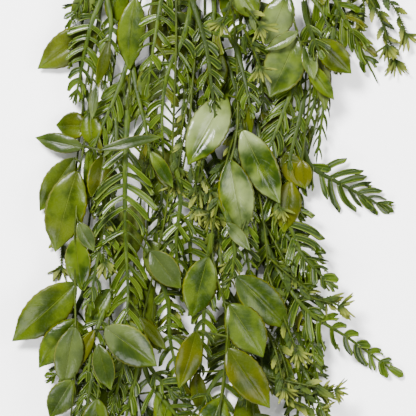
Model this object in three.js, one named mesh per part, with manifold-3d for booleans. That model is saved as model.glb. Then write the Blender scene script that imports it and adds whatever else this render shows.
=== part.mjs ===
// A bunch of trailing foliage, laid down flat: lobed fern fronds, oval pointed leaves and feathery
// sprigs on long thin stems, which a binding holds together at their cut ends.
// Millimetres, +Z up. The stems run from +Y to -Y, and the bunch lies on the plane Z = 0.
// Each spray is a tree of knots. Its place across the surface is drawn in the lists below, and its
// height at each knot comes from lying on the sprays under it, as a bunch put down does.
import * as THREE from 'three';
import Module from 'manifold-3d';

const wasm = await Module();
wasm.setup();

// Driving dimensions
const STEM_RADIUS = 1.25;
const PETIOLE_RADIUS = 0.9;
const BLADE_HALF = 0.4; // half the thickness of a frond's lobes
const LEAF_HALF = 0.6; // half the thickness of a leaf at its midrib
const STEM_STEP = 15; // from one knot of a stem to the next
const LOBE_PITCH = 12; // from one pair of a frond's lobes to the next
const LOBE_SHARE = 0.55; // of that, the part that a lobe takes up
const TOOTH_PITCH = 12; // from one pair of a sprig's teeth to the next
const CLEARANCE = 0.6; // from one spray up to the next
const ROOT_REACH = 13; // how far out a leaf or frond may lie as low as the stem that bears it
const STEEPEST = 0.45; // a stem's steepest rise, as height over length
const SWING_RAISES = 2; // how far a leaf that swings down may raise its base
const EASING = 15; // length over which a stem takes up that rise
const PASSES = 3; // how many times a spray is shaken until its leaves clear each other
const PETIOLE_GIVE = 16; // how much longer a petiole counts, since it bends more readily
const HAIR = 0.006; // points of a solid that lie nearer than this are one
const SHARPNESS = 1.2; // how closely a spray follows what lies under it, per millimetre

// The bound end: stems in rows, first row lowest, inside a binding
const SLOT_PITCH = 3.3;
const BINDING_WALL = 2.4;
const BINDING_GAP = 0.3;
const BINDING_LENGTH = 16;
const CUT_END = 22; // stem beyond the binding
const BOUND_AT = [21, 303]; // middle of the binding
const FIRST_TURN = 3.5; // from the binding to where the outermost stem turns off

const COLOURS = {
  fern: { color: 0x4f7f34, roughness: 0.55 },
  leaf: { color: 0x5b7f22, roughness: 0.38 },
  sprig: { color: 0x3c6327, roughness: 0.6 },
  binding: { color: 0x5a4a30, roughness: 0.8 },
};

// The sprays, from the back of the bunch to its front. Leaves: base, tip and width.
const SPRAYS = [
  { name: 'back_fern_left', kind: 'fern', row: 0,
    stem: [[-59, 246], [-108, 172], [-111, 103], [-101, 24], [-108, -45], [-101, -115], [-97, -184],
      [-94, -232]],
    hanging: { every: 180, length: 96, lobe: 25 } },
  { name: 'back_leaves_left', kind: 'leaf', row: 0,
    stem: [[-37, 246], [-50, 164], [-50, 85], [-59, 7], [-66, -71], [-63, -150], [-50, -228]],
    hanging: { every: 60, length: 66, width: 29 } },
  { name: 'back_fern_middle', kind: 'fern', row: 0,
    stem: [[-3, 251], [-3, 164], [-10, 77], [-3, -10], [-10, -97], [-16, -167], [-10, -237]],
    hanging: { every: 180, length: 98, lobe: 24 } },
  { name: 'back_leaves_middle', kind: 'leaf', row: 0,
    stem: [[28, 251], [40, 155], [37, 68], [47, -10], [37, -97], [28, -167], [24, -228]],
    hanging: { every: 75, length: 66, width: 29 } },
  { name: 'back_fern_right', kind: 'fern', row: 0,
    stem: [[71, 249], [96, 172], [99, 103], [84, 33], [67, -28], [64, -97], [71, -167], [68, -228]],
    fronds: [
      { path: [[64, -80], [80, -115], [97, -155]], lobe: 22 },
    ],
    hanging: { every: 180, length: 92, lobe: 24, first: 1 } },
  { name: 'sprig_top_right', kind: 'sprig', row: 0,
    stem: [[90, 249], [115, 220], [129, 198]],
    twigs: [
      [[129, 198], [145, 179], [157, 155], [165, 130]],
      [[119, 216], [150, 191], [165, 174], [174, 153]], [[106, 230], [124, 200], [127, 174]],
    ] },

  { name: 'leaves_behind_left', kind: 'leaf', row: 1,
    stem: [[-37, 242], [-31, 181], [-42, 111], [-49, 42], [-54, -28], [-59, -89], [-64, -141],
      [-61, -193]],
    leaves: [
      [[-33, 172], [-7, 139], 26], [[-39, 127], [-59, 90], 26], [[-47, 50], [-21, 10], 24],
      [[-53, -28], [-28, -73], 27], [[-60, -96], [-42, -125], 18], [[-62, -124], [-84, -171], 26],
      [[-63, -184], [-37, -228], 28], [[-61, -193], [-70, -242], 26],
    ] },
  { name: 'leaves_behind_right', kind: 'leaf', row: 1,
    stem: [[47, 242], [33, 181], [24, 129], [38, 85], [59, 50], [62, 7], [54, -45], [42, -97],
      [38, -150], [42, -202]],
    leaves: [
      [[21, 130], [-2, 94], 28], [[49, 84], [80, 52], 24], [[61, 24], [70, -22], 26],
      [[50, -47], [80, -71], 24], [[39, -119], [77, -160], 28], [[40, -180], [70, -221], 28],
      [[42, -202], [44, -254], 26], [[37, 181], [64, 151], 24], [[47, -63], [24, -99], 26],
    ] },
  { name: 'fern_edge_right', kind: 'fern', row: 1,
    stem: [[106, 242], [118, 207]],
    fronds: [
      { path: [[118, 207], [112, 164], [99, 111], [87, 72], [78, 37]], lobe: 24, spread: 0.6 },
    ] },
  { name: 'fern_inner', kind: 'fern', row: 1,
    stem: [[3, 242], [7, 164], [0, 103], [-7, 50], [-10, 16], [-3, -28], [12, -63], [16, -80]],
    fronds: [
      { path: [[-10, 16], [-15, -15], [-15, -47], [-10, -80]], lobe: 22 },
      { path: [[16, -80], [17, -124], [12, -167], [7, -212]], lobe: 22 },
    ] },
  { name: 'sprig_left', kind: 'sprig', row: 1,
    stem: [[-78, 242], [-97, 164], [-108, 103], [-115, 42], [-118, -2]],
    twigs: [
      [[-118, -2], [-127, -24], [-129, -52]], [[-113, 59], [-90, 16], [-84, -24]],
      [[-103, 129], [-84, 94], [-84, 64]],
    ] },
  { name: 'sprig_inner', kind: 'sprig', row: 1,
    stem: [[-16, 242], [-10, 164], [-14, 103], [-19, 50], [-31, -2], [-44, -54], [-49, -96]],
    twigs: [
      [[-14, 103], [-23, 68], [-23, 33]], [[-17, 68], [-5, 50], [-7, 16]],
      [[-31, -2], [-38, -47], [-33, -94]], [[-49, -96], [-37, -110], [-16, -117]],
    ] },

  { name: 'fern_right', kind: 'fern', row: 2,
    stem: [[77, 242], [87, 164], [85, 103], [83, 59]],
    fronds: [
      { path: [[83, 59], [90, 37], [117, 21], [151, 3]], lobe: 29 },
    ] },
  { name: 'fern_low_right', kind: 'fern', row: 2,
    stem: [[38, 242], [47, 164], [47, 85], [42, 33], [41, 3]],
    fronds: [
      { path: [[41, 3], [58, -47], [85, -88], [123, -114], [159, -140]], lobe: 31, spread: 1 },
      { path: [[42, 33], [61, 2], [77, -28], [87, -56]], lobe: 34, spread: 0.85 },
    ] },
  { name: 'leaves_left', kind: 'leaf', row: 2,
    stem: [[-59, 242], [-90, 190], [-97, 146], [-104, 94], [-108, 59], [-113, 24], [-116, -28],
      [-116, -80], [-115, -124], [-118, -167], [-124, -211], [-127, -245]],
    leaves: [
      [[-84, 216], [-127, 191], 26], [[-96, 157], [-150, 122], 30], [[-104, 72], [-134, 73], 24],
      [[-109, 53], [-152, 62], 17], [[-103, 84], [-101, 53], 20], [[-117, 44], [-148, -3], 24],
      [[-114, 33], [-134, -39], 36], [[-115, -25], [-110, -73], 23], [[-113, -12], [-99, -38], 14],
      [[-115, -65], [-172, -117], 35], [[-114, -97], [-148, -140], 26],
      [[-116, -103], [-126, -157], 26], [[-118, -150], [-139, -184], 24],
      [[-122, -193], [-150, -235], 28], [[-124, -211], [-101, -251], 26],
      [[-127, -245], [-134, -291], 24],
    ] },
  { name: 'leaves_low_left', kind: 'leaf', row: 2,
    stem: [[-49, 242], [-73, 190], [-82, 129], [-89, 77], [-90, 33], [-89, -28], [-85, -80],
      [-90, -124], [-96, -167], [-97, -211]],
    leaves: [
      [[-75, 207], [-84, 158], 22], [[-91, 46], [-97, 2], 22], [[-84, -99], [-52, -137], 34],
      [[-90, -124], [-79, -158], 22], [[-96, -165], [-101, -207], 24],
      [[-97, -198], [-71, -242], 28], [[-97, -211], [-103, -264], 25],
      [[-85, -71], [-106, -106], 22],
    ] },
  { name: 'fern_top_right', kind: 'fern', row: 2,
    stem: [[59, 242], [77, 207], [84, 181]],
    fronds: [
      { path: [[84, 181], [90, 157], [94, 132], [94, 108]], lobe: 26 },
      { path: [[71, 221], [99, 198], [118, 169], [144, 120]], lobe: 24 },
    ] },
  { name: 'sprig_low_right', kind: 'sprig', row: 2,
    stem: [[17, 242], [28, 164], [30, 111], [37, 50], [47, -2], [52, -54], [47, -106], [47, -146]],
    twigs: [
      [[47, -146], [59, -164], [80, -164], [99, -164]], [[52, -47], [77, -64], [103, -80]],
      [[47, -106], [63, -124], [70, -148]], [[38, 42], [56, 21], [63, 0]],
      [[31, 94], [12, 24], [9, -28]],
    ] },

  { name: 'fern_left', kind: 'fern', row: 3,
    stem: [[-42, 242], [-59, 181], [-67, 129], [-70, 85]],
    fronds: [
      { path: [[-70, 85], [-72, 33], [-72, -28], [-70, -80], [-77, -120]], lobe: 37, spread: 0.85 },
    ] },
  { name: 'fern_upper_left', kind: 'fern', row: 3,
    stem: [[-63, 242], [-80, 216], [-90, 190]],
    fronds: [
      { path: [[-90, 190], [-101, 164], [-108, 136], [-115, 101]], lobe: 22 },
    ] },
  { name: 'leaves_upper_left', kind: 'leaf', row: 3,
    stem: [[-31, 242], [-50, 216], [-63, 184]],
    leaves: [
      [[-50, 218], [-78, 242], 24], [[-63, 184], [-69, 120], 25], [[-44, 226], [-28, 186], 26],
    ] },
  { name: 'fern_middle', kind: 'fern', row: 3,
    stem: [[-3, 237], [-9, 207], [-14, 181]],
    fronds: [
      { path: [[-14, 181], [-21, 150], [-35, 118], [-40, 84], [-39, 46]], lobe: 25 },
      { path: [[-9, 207], [-37, 190], [-45, 155], [-52, 108]], lobe: 24 },
      { path: [[-14, 181], [-5, 158], [16, 150], [44, 148]], lobe: 22 },
    ] },
  { name: 'fern_low_left', kind: 'fern', row: 3,
    stem: [[-23, 242], [-28, 129], [-33, 24], [-45, -45], [-57, -97], [-59, -125]],
    fronds: [
      { path: [[-59, -125], [-50, -153], [-31, -177], [-7, -205]], lobe: 26 },
      { path: [[-45, -45], [-35, -80], [-33, -115], [-24, -153]], lobe: 22 },
    ] },
  { name: 'leaves_centre', kind: 'leaf', row: 3,
    stem: [[16, 242], [19, 198], [24, 146], [26, 103], [24, 59], [12, 16], [3, -28], [10, -68],
      [17, -97], [14, -141], [9, -184], [6, -231]],
    leaves: [
      [[17, 223], [-14, 193], 28], [[21, 198], [44, 165], 26], [[16, 99], [-18, 37], 34],
      [[30, 68], [63, 3], 30], [[19, 42], [31, -24], 31], [[0, -42], [-14, -96], 30],
      [[24, -59], [71, -106], 31], [[18, -83], [48, -130], 34], [[-10, -106], [-26, -157], 22],
      [[17, -121], [54, -174], 30], [[12, -164], [-9, -211], 28], [[9, -193], [35, -242], 30],
      [[6, -231], [-5, -285], 27],
    ] },
  { name: 'leaves_right', kind: 'leaf', row: 3,
    stem: [[37, 242], [66, 216], [71, 181], [78, 150], [89, 111], [85, 68], [82, 42]],
    leaves: [
      [[63, 221], [99, 195], 26], [[70, 186], [50, 142], 28], [[77, 148], [53, 96], 36],
      [[96, 146], [125, 117], 24], [[87, 125], [110, 94], 15], [[82, 42], [85, 16], 16],
      [[84, 141], [92, 111], 14],
    ] },
];

// A repeatable random number from 0 to 1. Each spray starts a row of numbers of its own, so that it can
// be redrawn without a change to the others.
const FIRST_SEED = 120;
let seed = FIRST_SEED;
function random() {
  seed = (seed + 0x6d2b79f5) | 0;
  let mixed = Math.imul(seed ^ (seed >>> 15), 1 | seed);
  mixed = (mixed + Math.imul(mixed ^ (mixed >>> 7), 61 | mixed)) ^ mixed;
  return ((mixed ^ (mixed >>> 14)) >>> 0) / 4294967296;
}

function between(low, high) {
  return low + (high - low) * random();
}

// Equal steps along a smooth curve through the drawn points, each with the curve's heading
function walk(points, step) {
  const fine = [];
  for (let i = 0; i < points.length - 1; i++) {
    const [a, b, c, d] = [i - 1, i, i + 1, i + 2].map(
      (k) => points[Math.min(Math.max(k, 0), points.length - 1)],
    );
    for (let k = i ? 1 : 0; k <= 16; k++) {
      const u = k / 16;
      fine.push([0, 1].map((j) => b[j] + 0.5 * u * (c[j] - a[j]
        + u * (2 * a[j] - 5 * b[j] + 4 * c[j] - d[j] + u * (3 * (b[j] - c[j]) + d[j] - a[j])))));
    }
  }
  const along = [0];
  for (let i = 1; i < fine.length; i++) {
    along.push(along[i - 1] + Math.hypot(fine[i][0] - fine[i - 1][0], fine[i][1] - fine[i - 1][1]));
  }
  const total = along[along.length - 1];
  const count = Math.max(1, Math.round(total / step));
  const places = [];
  for (let k = 0, i = 1; k <= count; k++) {
    const goal = (total * k) / count;
    while (i < fine.length - 1 && along[i] < goal) i++;
    const u = (goal - along[i - 1]) / (along[i] - along[i - 1]);
    places.push([0, 1].map((j) => fine[i - 1][j] + u * (fine[i][j] - fine[i - 1][j])));
  }
  return places.map(([x, y], k) => {
    const before = places[Math.max(k - 1, 0)];
    const after = places[Math.min(k + 1, count)];
    return { x, y, heading: Math.atan2(after[1] - before[1], after[0] - before[0]) };
  });
}

// ---- Sheets: triangles drawn across the surface, whose points are thick, or sharp where half is 0 ----

// A point of a sheet at a place's side: over its knot by lift, half as thick as half
function sidePoint(place, side, knot, lift, half) {
  return {
    x: place.x - side * Math.sin(place.heading),
    y: place.y + side * Math.cos(place.heading),
    knot, lift, half,
  };
}

// A strip with a raised middle line, as a stem, a stalk or a leaf. Rows hold left, middle and right.
function strip(rows) {
  const points = rows.flat();
  const faces = [];
  rows.slice(1).forEach((row, k) => {
    const first = rows.slice(0, k + 1).flat().length;
    const [left, middle, right] = [first - 3, first - 2, first - 1];
    if (row.length === 1) {
      faces.push([left, middle, first], [middle, right, first]);
    } else {
      faces.push([left, middle, first + 1], [left, first + 1, first]);
      faces.push([middle, right, first + 2], [middle, first + 2, first + 1]);
    }
  });
  return { points, faces };
}

// The height of a point's knot, or between two knots where it lies part of the way from one to the next
function heightAt(knot, heightOf) {
  if (!Array.isArray(knot)) return heightOf(knot);
  const [from, to, share] = knot;
  return (1 - share) * heightOf(from) + share * heightOf(to);
}

function knotsOf(knot) {
  return Array.isArray(knot) ? knot.slice(0, 2) : [knot];
}

// Closes a sheet into a solid: an upper and a lower skin alike, and walls where the edge is thick
function solidOf(sheet, knots) {
  const vertices = [];
  const upper = [];
  const lower = [];
  for (const point of sheet.points) {
    const z = heightAt(point.knot, (k) => knots[k].z) + point.lift;
    upper.push(vertices.length / 3);
    vertices.push(point.x, point.y, z + point.half);
    if (point.half) vertices.push(point.x, point.y, z - point.half);
    lower.push(vertices.length / 3 - 1);
  }
  const triangles = [];
  const add = (a, b, c) => {
    if (a !== b && b !== c && c !== a) triangles.push(a, b, c);
  };
  const edges = new Set(sheet.faces.flatMap(([a, b, c]) => [`${a},${b}`, `${b},${c}`, `${c},${a}`]));
  for (const [a, b, c] of sheet.faces) {
    add(upper[a], upper[b], upper[c]);
    add(lower[c], lower[b], lower[a]);
    for (const [from, to] of [[a, b], [b, c], [c, a]]) {
      if (edges.has(`${to},${from}`)) continue;
      add(upper[to], upper[from], lower[from]);
      add(upper[to], lower[from], lower[to]);
    }
  }
  return new wasm.Manifold(new wasm.Mesh({
    numProp: 3,
    vertProperties: new Float32Array(vertices),
    triVerts: new Uint32Array(triangles),
  }));
}

// ---- Pieces of a spray ----

function addKnot(spray, place, parent) {
  const from = spray.knots[parent];
  const reach = from ? Math.hypot(place.x - from.x, place.y - from.y) : 0;
  spray.knots.push({ x: place.x, y: place.y, parent, reach, z: 0, need: -Infinity });
  return spray.knots.length - 1;
}

function nearestKnot(spray, [x, y]) {
  let best = spray.boundKnots;
  for (let k = best; k < spray.line.length; k++) {
    const here = spray.knots[k];
    const there = spray.knots[best];
    if (Math.hypot(here.x - x, here.y - y) < Math.hypot(there.x - x, there.y - y)) best = k;
  }
  spray.knots[best].bears = true;
  return best;
}

// The stem: a cut end, its slot in the binding, then the drawn line
function addStem(spray, slot) {
  const bound = [CUT_END + BINDING_LENGTH / 2, -BINDING_LENGTH / 2].map((y) => ({
    x: slot.x, y: BOUND_AT[1] + y, heading: -Math.PI / 2,
  }));
  const drawn = walk([[slot.x, bound[1].y - slot.turn], ...spray.stem], STEM_STEP);
  spray.line = [...bound, ...drawn];
  spray.boundKnots = bound.length + 1;
  spray.line.forEach((place, k) => {
    const knot = spray.knots[addKnot(spray, place, k - 1)];
    if (k < spray.boundKnots) knot.fixed = slot.z;
  });
}

// The stem's own strip, cut at its ends, where something grows from it, and at least every third knot.
// A leaf in joined grows from the edge of a short cut of its own, as part of the same sheet.
function stemSheet(spray, joined = []) {
  const last = spray.line.length - 1;
  const cuts = [];
  let before = 0;
  spray.line.forEach((place, k) => {
    const borne = joined.some((leaf) => leaf.root === k);
    const kept = k <= spray.boundKnots || k === last || spray.knots[k].bears || k - before > 2;
    if (!kept) return;
    before = k;
    if (!borne) cuts.push({ at: k });
  });
  for (const leaf of joined) {
    const twins = joined.filter((other) => other.root === leaf.root);
    const place = twins.indexOf(leaf) - (twins.length - 1) / 2;
    const at = Math.min(leaf.root + place * 0.3, last - 0.15);
    cuts.push({ at: at - 0.06 }, { at: at + 0.06, leaf });
  }
  cuts.sort((a, b) => a.at - b.at);
  const points = [];
  const faces = [];
  const rows = cuts.map(({ at }, i) => {
    const k = Math.min(Math.floor(at), last - 1);
    const u = at - k;
    const [from, to] = [spray.line[k], spray.line[k + 1]];
    const place = { x: from.x + u * (to.x - from.x), y: from.y + u * (to.y - from.y),
      heading: u < 1 ? from.heading : to.heading };
    const knot = [k, k + 1, u];
    const radius = STEM_RADIUS * (at < spray.boundKnots ? 1 : 1 - 0.35 * (at / last));
    const leaf = cuts[i].leaf ?? cuts[i + 1]?.leaf;
    const side = leaf ? sideOf(place, leaf.base) : 0;
    return [1, 0, -1].map((s) => points.push(sidePoint(place, s * radius, knot, 0,
      s === 0 ? radius : s === side ? 0.6 * PETIOLE_RADIUS : 0)) - 1);
  });
  for (let i = 1; i < rows.length; i++) {
    const [a, b] = [rows[i - 1], rows[i]];
    const { leaf } = cuts[i];
    const side = leaf ? sideOf(points[a[1]], leaf.base, spray.line[leaf.root].heading) : 0;
    if (side !== 1) faces.push([a[0], a[1], b[1]], [a[0], b[1], b[0]]);
    if (side !== -1) faces.push([a[1], a[2], b[2]], [a[1], b[2], b[1]]);
    if (!leaf) continue;
    const [start, end] = side > 0 ? [a[0], b[0]] : [b[2], a[2]];
    const [p, q] = [points[start], points[end]];
    const middle = points.push({ x: (p.x + q.x) / 2, y: (p.y + q.y) / 2,
      knot: [...points[a[1]].knot], lift: 0, half: PETIOLE_RADIUS }) - 1;
    const [near, far] = side > 0 ? [a[1], b[1]] : [b[1], a[1]];
    faces.push([start, near, middle], [near, far, middle], [far, end, middle]);
    // The leaf's own points, less its first row, after the three on the stem's edge
    const moved = leaf.points.map((point, n) => (
      n < 3 ? [start, middle, end][n] : points.push(point) - 1));
    for (const face of leaf.faces) faces.push(face.map((n) => moved[n]));
  }
  return { points, faces, isStem: true };
}

// Which side of a place a point lies on: 1 for the left and -1 for the right
function sideOf(place, [x, y], heading = place.heading) {
  return Math.cos(heading) * (y - place.y) - Math.sin(heading) * (x - place.x) > 0 ? 1 : -1;
}

// How wide an oval pointed leaf is, t of the way along it, as a share of its width
function ovalShare(t) {
  return (t / 0.46) ** 0.78 * ((1 - t) / 0.54) ** 0.92;
}

// A leaf on its petiole, from the nearest knot of the stem: a blade that bends down to its tip
function addLeaf(spray, [base, tip, width, lean = between(-0.2, 0.2)]) {
  const root = nearestKnot(spray, base);
  const from = spray.knots[root];
  const heading = Math.atan2(tip[1] - base[1], tip[0] - base[0]);
  const length = Math.hypot(tip[0] - base[0], tip[1] - base[1]);
  const stalk = Math.atan2(base[1] - from.y, base[0] - from.x);
  const curve = between(-0.16, 0.16);
  const fold = between(0.08, 0.2);
  const sag = between(0.1, 0.22);
  const knot = addKnot(spray, { x: base[0], y: base[1] }, root);
  spray.knots[knot].reach += PETIOLE_GIVE;
  const petiole = [{ x: from.x, y: from.y, heading: stalk, knot: root },
    { x: base[0], y: base[1], heading: heading - curve / 2, knot }];
  const rows = petiole.map((place) => [1, 0, -1].map((side) => sidePoint(
    place, side * PETIOLE_RADIUS, place.knot, 0, side ? 0 : PETIOLE_RADIUS,
  )));
  for (const t of [0.2, 0.46, 0.76, 1]) {
    const turn = curve * (t - 1) / 2;
    const place = { x: base[0] + length * t * Math.cos(heading + turn),
      y: base[1] + length * t * Math.sin(heading + turn), heading: heading + curve * (t - 0.5) };
    const across = t < 1 ? [1, 0, -1] : [0];
    rows.push(across.map((side) => {
      const out = side * (width / 2) * (t < 1 ? ovalShare(t) : 0);
      const lift = fold * Math.abs(out) + lean * out - sag * length * t * t;
      const point = sidePoint(place, out, knot, lift, t === 1 || side ? 0 : LEAF_HALF);
      point.run = length * t;
      return point;
    }));
  }
  spray.sheets.push({ ...strip(rows), swings: true, root, base });
}

// A frond or a sprig: a stalk with pairs of lobes or teeth, all in one thin arched blade
function addFrond(spray, { path, lobe, spread = 1.08, root = nearestKnot(spray, path[0]) }) {
  const isSprig = spray.kind === 'sprig';
  const start = spray.knots[root];
  const places = walk([[start.x, start.y], ...path.slice(1)], isSprig ? TOOTH_PITCH : LOBE_PITCH);
  const cells = places.length - 1;
  const bare = isSprig ? 1 : 2;
  const points = [];
  const faces = [];
  const put = (...point) => points.push(sidePoint(...point)) - 1;
  // A corner of the rachis part of the way along a cell, taking its knot from the cell's start
  const edgePoint = (k, u, side, half) => {
    const [near, far] = [places[k], places[k + 1]];
    const [x, y] = [near.x + u * (far.x - near.x), near.y + u * (far.y - near.y)];
    const knot = [rows[k].knot, rows[k + 1].knot, u];
    return put({ x, y, heading: near.heading }, side * rachisWidth(k + u), knot, 0, half);
  };
  const rachisWidth = (k) => (isSprig ? 1 : 1.8) * (1 - 0.6 * (k / cells));
  let parent = root;
  const rows = places.map((place, k) => {
    const knot = k ? addKnot(spray, place, parent) : root;
    parent = knot;
    const edge = k < bare ? 0 : BLADE_HALF;
    const thick = Math.max((isSprig ? 0.9 : 1.2) * (1 - 0.6 * (k / cells)), BLADE_HALF);
    return { knot, left: put(place, rachisWidth(k), knot, 0, edge), middle: put(place, 0, knot, 0, thick),
      right: put(place, -rachisWidth(k), knot, 0, edge) };
  });
  for (let k = 0; k < cells; k++) {
    const [a, b] = [rows[k], rows[k + 1]];
    const t = (k - bare + 0.5) / (cells - bare);
    const heading = (places[k].heading + places[k + 1].heading) / 2;
    for (const side of [1, -1]) {
      const [near, far] = side > 0 ? [a.left, b.left] : [a.right, b.right];
      const add = (...corners) => faces.push(side > 0 ? corners : corners.reverse());
      if (k < bare) {
        add(near, a.middle, b.middle);
        add(near, b.middle, far);
        continue;
      }
      const open = (isSprig ? 0.7 : spread * (1 - 0.45 * t)) + between(-0.06, 0.06);
      const full = isSprig ? between(7, 9.5) : lobe * between(0.9, 1.08);
      const out = full * (isSprig ? 1 - 0.3 * t : Math.min(1, 0.6 + 1.6 * t) * (1 - 0.62 * t ** 1.6));
      const lift = out * between(-0.3, 0.12);
      const aim = heading + side * open;
      if (isSprig) {
        const tooth = put(outward(points[near], points[far], out, aim), 0, a.knot, lift, BLADE_HALF);
        add(near, a.middle, b.middle);
        add(near, b.middle, far);
        add(near, far, tooth);
        continue;
      }
      // The lobe takes up the first part of its cell, and the rest is the gap to the next one
      const notch = edgePoint(k, LOBE_SHARE, side, BLADE_HALF);
      const end = outward(points[near], points[notch], out, aim);
      const blunt = (LOBE_SHARE * LOBE_PITCH * Math.sin(open) * (1 - 0.3 * t)) / 2;
      const back = put(end, side * blunt, a.knot, lift, BLADE_HALF);
      const front = put(end, -side * blunt, a.knot, lift, BLADE_HALF);
      add(near, a.middle, notch);
      add(a.middle, b.middle, notch);
      add(notch, b.middle, far);
      add(near, notch, front);
      add(near, front, back);
    }
  }
  if (isSprig) addTuft(put, faces, places[cells], rows[cells]);
  else {
    const last = rows[cells];
    const end = outward(points[last.middle], points[last.middle], 0.45 * lobe, places[cells].heading);
    const left = put(end, 1.4, last.knot, -1, BLADE_HALF);
    const right = put(end, -1.4, last.knot, -1, BLADE_HALF);
    faces.push([last.left, last.middle, left]);
    faces.push([last.middle, right, left], [last.middle, last.right, right]);
  }
  spray.sheets.push({ points, faces, root });
}

// The place out along aim from halfway between two points
function outward(near, far, out, aim) {
  return { x: (near.x + far.x) / 2 + out * Math.cos(aim), y: (near.y + far.y) / 2 + out * Math.sin(aim),
    heading: aim };
}

// A tuft at a sprig's end: narrow pointed blades that spread like a hand, some up and some down
function addTuft(put, faces, place, last) {
  const blades = 5;
  let valley = last.right;
  for (let k = 0; k < blades; k++) {
    const aim = place.heading + (k / (blades - 1) - 0.5) * 2.1;
    const far = between(13, 18);
    const tip = put({ x: place.x + far * Math.cos(aim), y: place.y + far * Math.sin(aim), heading: aim },
      0, last.knot, far * between(-0.25, 0.3), BLADE_HALF);
    let next = last.left;
    if (k < blades - 1) {
      const turn = aim + 1.05 / (blades - 1);
      const out = 4;
      next = put({ x: place.x + out * Math.cos(turn), y: place.y + out * Math.sin(turn), heading: turn },
        0, last.knot, 0, BLADE_HALF);
    }
    faces.push([last.middle, valley, next], [valley, tip, next]);
    valley = next;
  }
}

// Leaves or fronds that hang from a stem by turns to its left and right
function addHanging(spray, { every, length, width, lobe, first = -1 }) {
  const gap = Math.round(every / STEM_STEP);
  let side = -first;
  for (let k = spray.boundKnots + 3; k < spray.line.length; k += gap) {
    side = -side;
    const knot = spray.knots[k];
    knot.bears = true;
    const above = spray.knots[k - 1];
    const down = Math.atan2(knot.y - above.y, knot.x - above.x);
    const aim = down + side * between(0.35, 0.7);
    const far = length * between(0.88, 1.1);
    if (lobe) {
      const path = [0, 0.33, 0.66, 1].map((t) => {
        const turn = aim - side * 0.45 * t;
        return [knot.x + far * t * Math.cos(turn), knot.y + far * t * Math.sin(turn)];
      });
      addFrond(spray, { path, lobe, root: k });
    } else {
      const base = [knot.x + 8 * Math.cos(aim), knot.y + 8 * Math.sin(aim)];
      const turn = aim - side * 0.3;
      const tip = [base[0] + far * Math.cos(turn), base[1] + far * Math.sin(turn)];
      addLeaf(spray, [base, tip, width * between(0.85, 1.05)]);
    }
  }
}

// ---- Lying down: a map of how high the bunch reaches over each small square of the surface ----

const CELL = 1.5;
const MAP_HALF = [260, 420];
const MAP_WIDTH = Math.ceil((2 * MAP_HALF[0]) / CELL);
const MAP_HEIGHT = Math.ceil((2 * MAP_HALF[1]) / CELL);

function cellOf(x, y) {
  return Math.floor((y + MAP_HALF[1]) / CELL) * MAP_WIDTH + Math.floor((x + MAP_HALF[0]) / CELL);
}

// Calls visit(x, y, lift, half, knots, run) all over a sheet, closely enough to miss no cell
function sample(sheet, visit) {
  for (const face of sheet.faces) {
    const corners = face.map((k) => sheet.points[k]);
    const [a, b, c] = corners;
    const longest = Math.max(Math.hypot(a.x - b.x, a.y - b.y), Math.hypot(b.x - c.x, b.y - c.y),
      Math.hypot(c.x - a.x, c.y - a.y));
    const steps = Math.ceil(longest / 1.6);
    for (let i = 0; i <= steps; i++) {
      for (let j = 0; j <= steps - i; j++) {
        const shares = [i / steps, j / steps, (steps - i - j) / steps];
        const mix = (key) => corners.reduce((sum, p, k) => sum + shares[k] * (p[key] ?? 0), 0);
        visit(mix('x'), mix('y'), mix('lift'), mix('half'), corners, shares, mix('run'));
      }
    }
  }
}

function mark(map, sheet, heightOf) {
  sample(sheet, (x, y, lift, half, corners, shares) => {
    const z = corners.reduce((sum, p, k) => sum + shares[k] * heightAt(p.knot, heightOf), 0) + lift + half;
    const middle = cellOf(x, y);
    for (const line of [-MAP_WIDTH, 0, MAP_WIDTH]) {
      for (let cell = middle + line - 1; cell <= middle + line + 1; cell++) {
        if (map[cell] < z) map[cell] = z;
      }
    }
  });
}

// Swings a leaf as far down as it goes without raising its base by more than a little
function swing(sheet, floorAt) {
  const rises = Array.from({ length: 21 }, (_, k) => -0.6 + 0.05 * k);
  const needs = rises.map(() => -Infinity);
  sample(sheet, (x, y, lift, half, corners, shares, run) => {
    const level = floorAt(x, y, run) - lift + half;
    rises.forEach((rise, k) => {
      needs[k] = Math.max(needs[k], level - rise * run);
    });
  });
  const least = Math.min(...needs);
  const rise = rises.find((_, k) => needs[k] <= least + SWING_RAISES);
  for (const point of sheet.points) point.lift += rise * (point.run ?? 0);
}

// Raises what the knots need until each sheet lies clear of the map and of the sheets before it
function raiseNeeds(spray, map, isFirst) {
  const crowd = Float64Array.from(map);
  const stem = Float64Array.from(map);
  const drawn = (k) => spray.knots[k].fixed ?? Math.max(spray.knots[k].need, spray.knots[k].z);
  for (const sheet of [stemSheet(spray), ...spray.sheets]) {
    const root = spray.knots[sheet.root];
    const floorAt = (x, y, run) => {
      const cell = cellOf(x, y);
      if (sheet.isStem) return map[cell];
      const clear = sheet.swings ? run > 2 : Math.hypot(x - root.x, y - root.y) > ROOT_REACH;
      return Math.max(crowd[cell], clear ? stem[cell] : -CLEARANCE);
    };
    if (sheet.swings && isFirst) swing(sheet, floorAt);
    sample(sheet, (x, y, lift, half, corners, shares, run) => {
      const below = floorAt(x, y, run);
      for (const k of corners.flatMap((corner) => knotsOf(corner.knot))) {
        const knot = spray.knots[k];
        if (knot.fixed === undefined) knot.need = Math.max(knot.need, below + CLEARANCE - lift + half);
      }
    });
    mark(sheet.isStem ? stem : crowd, sheet, drawn);
  }
}

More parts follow.
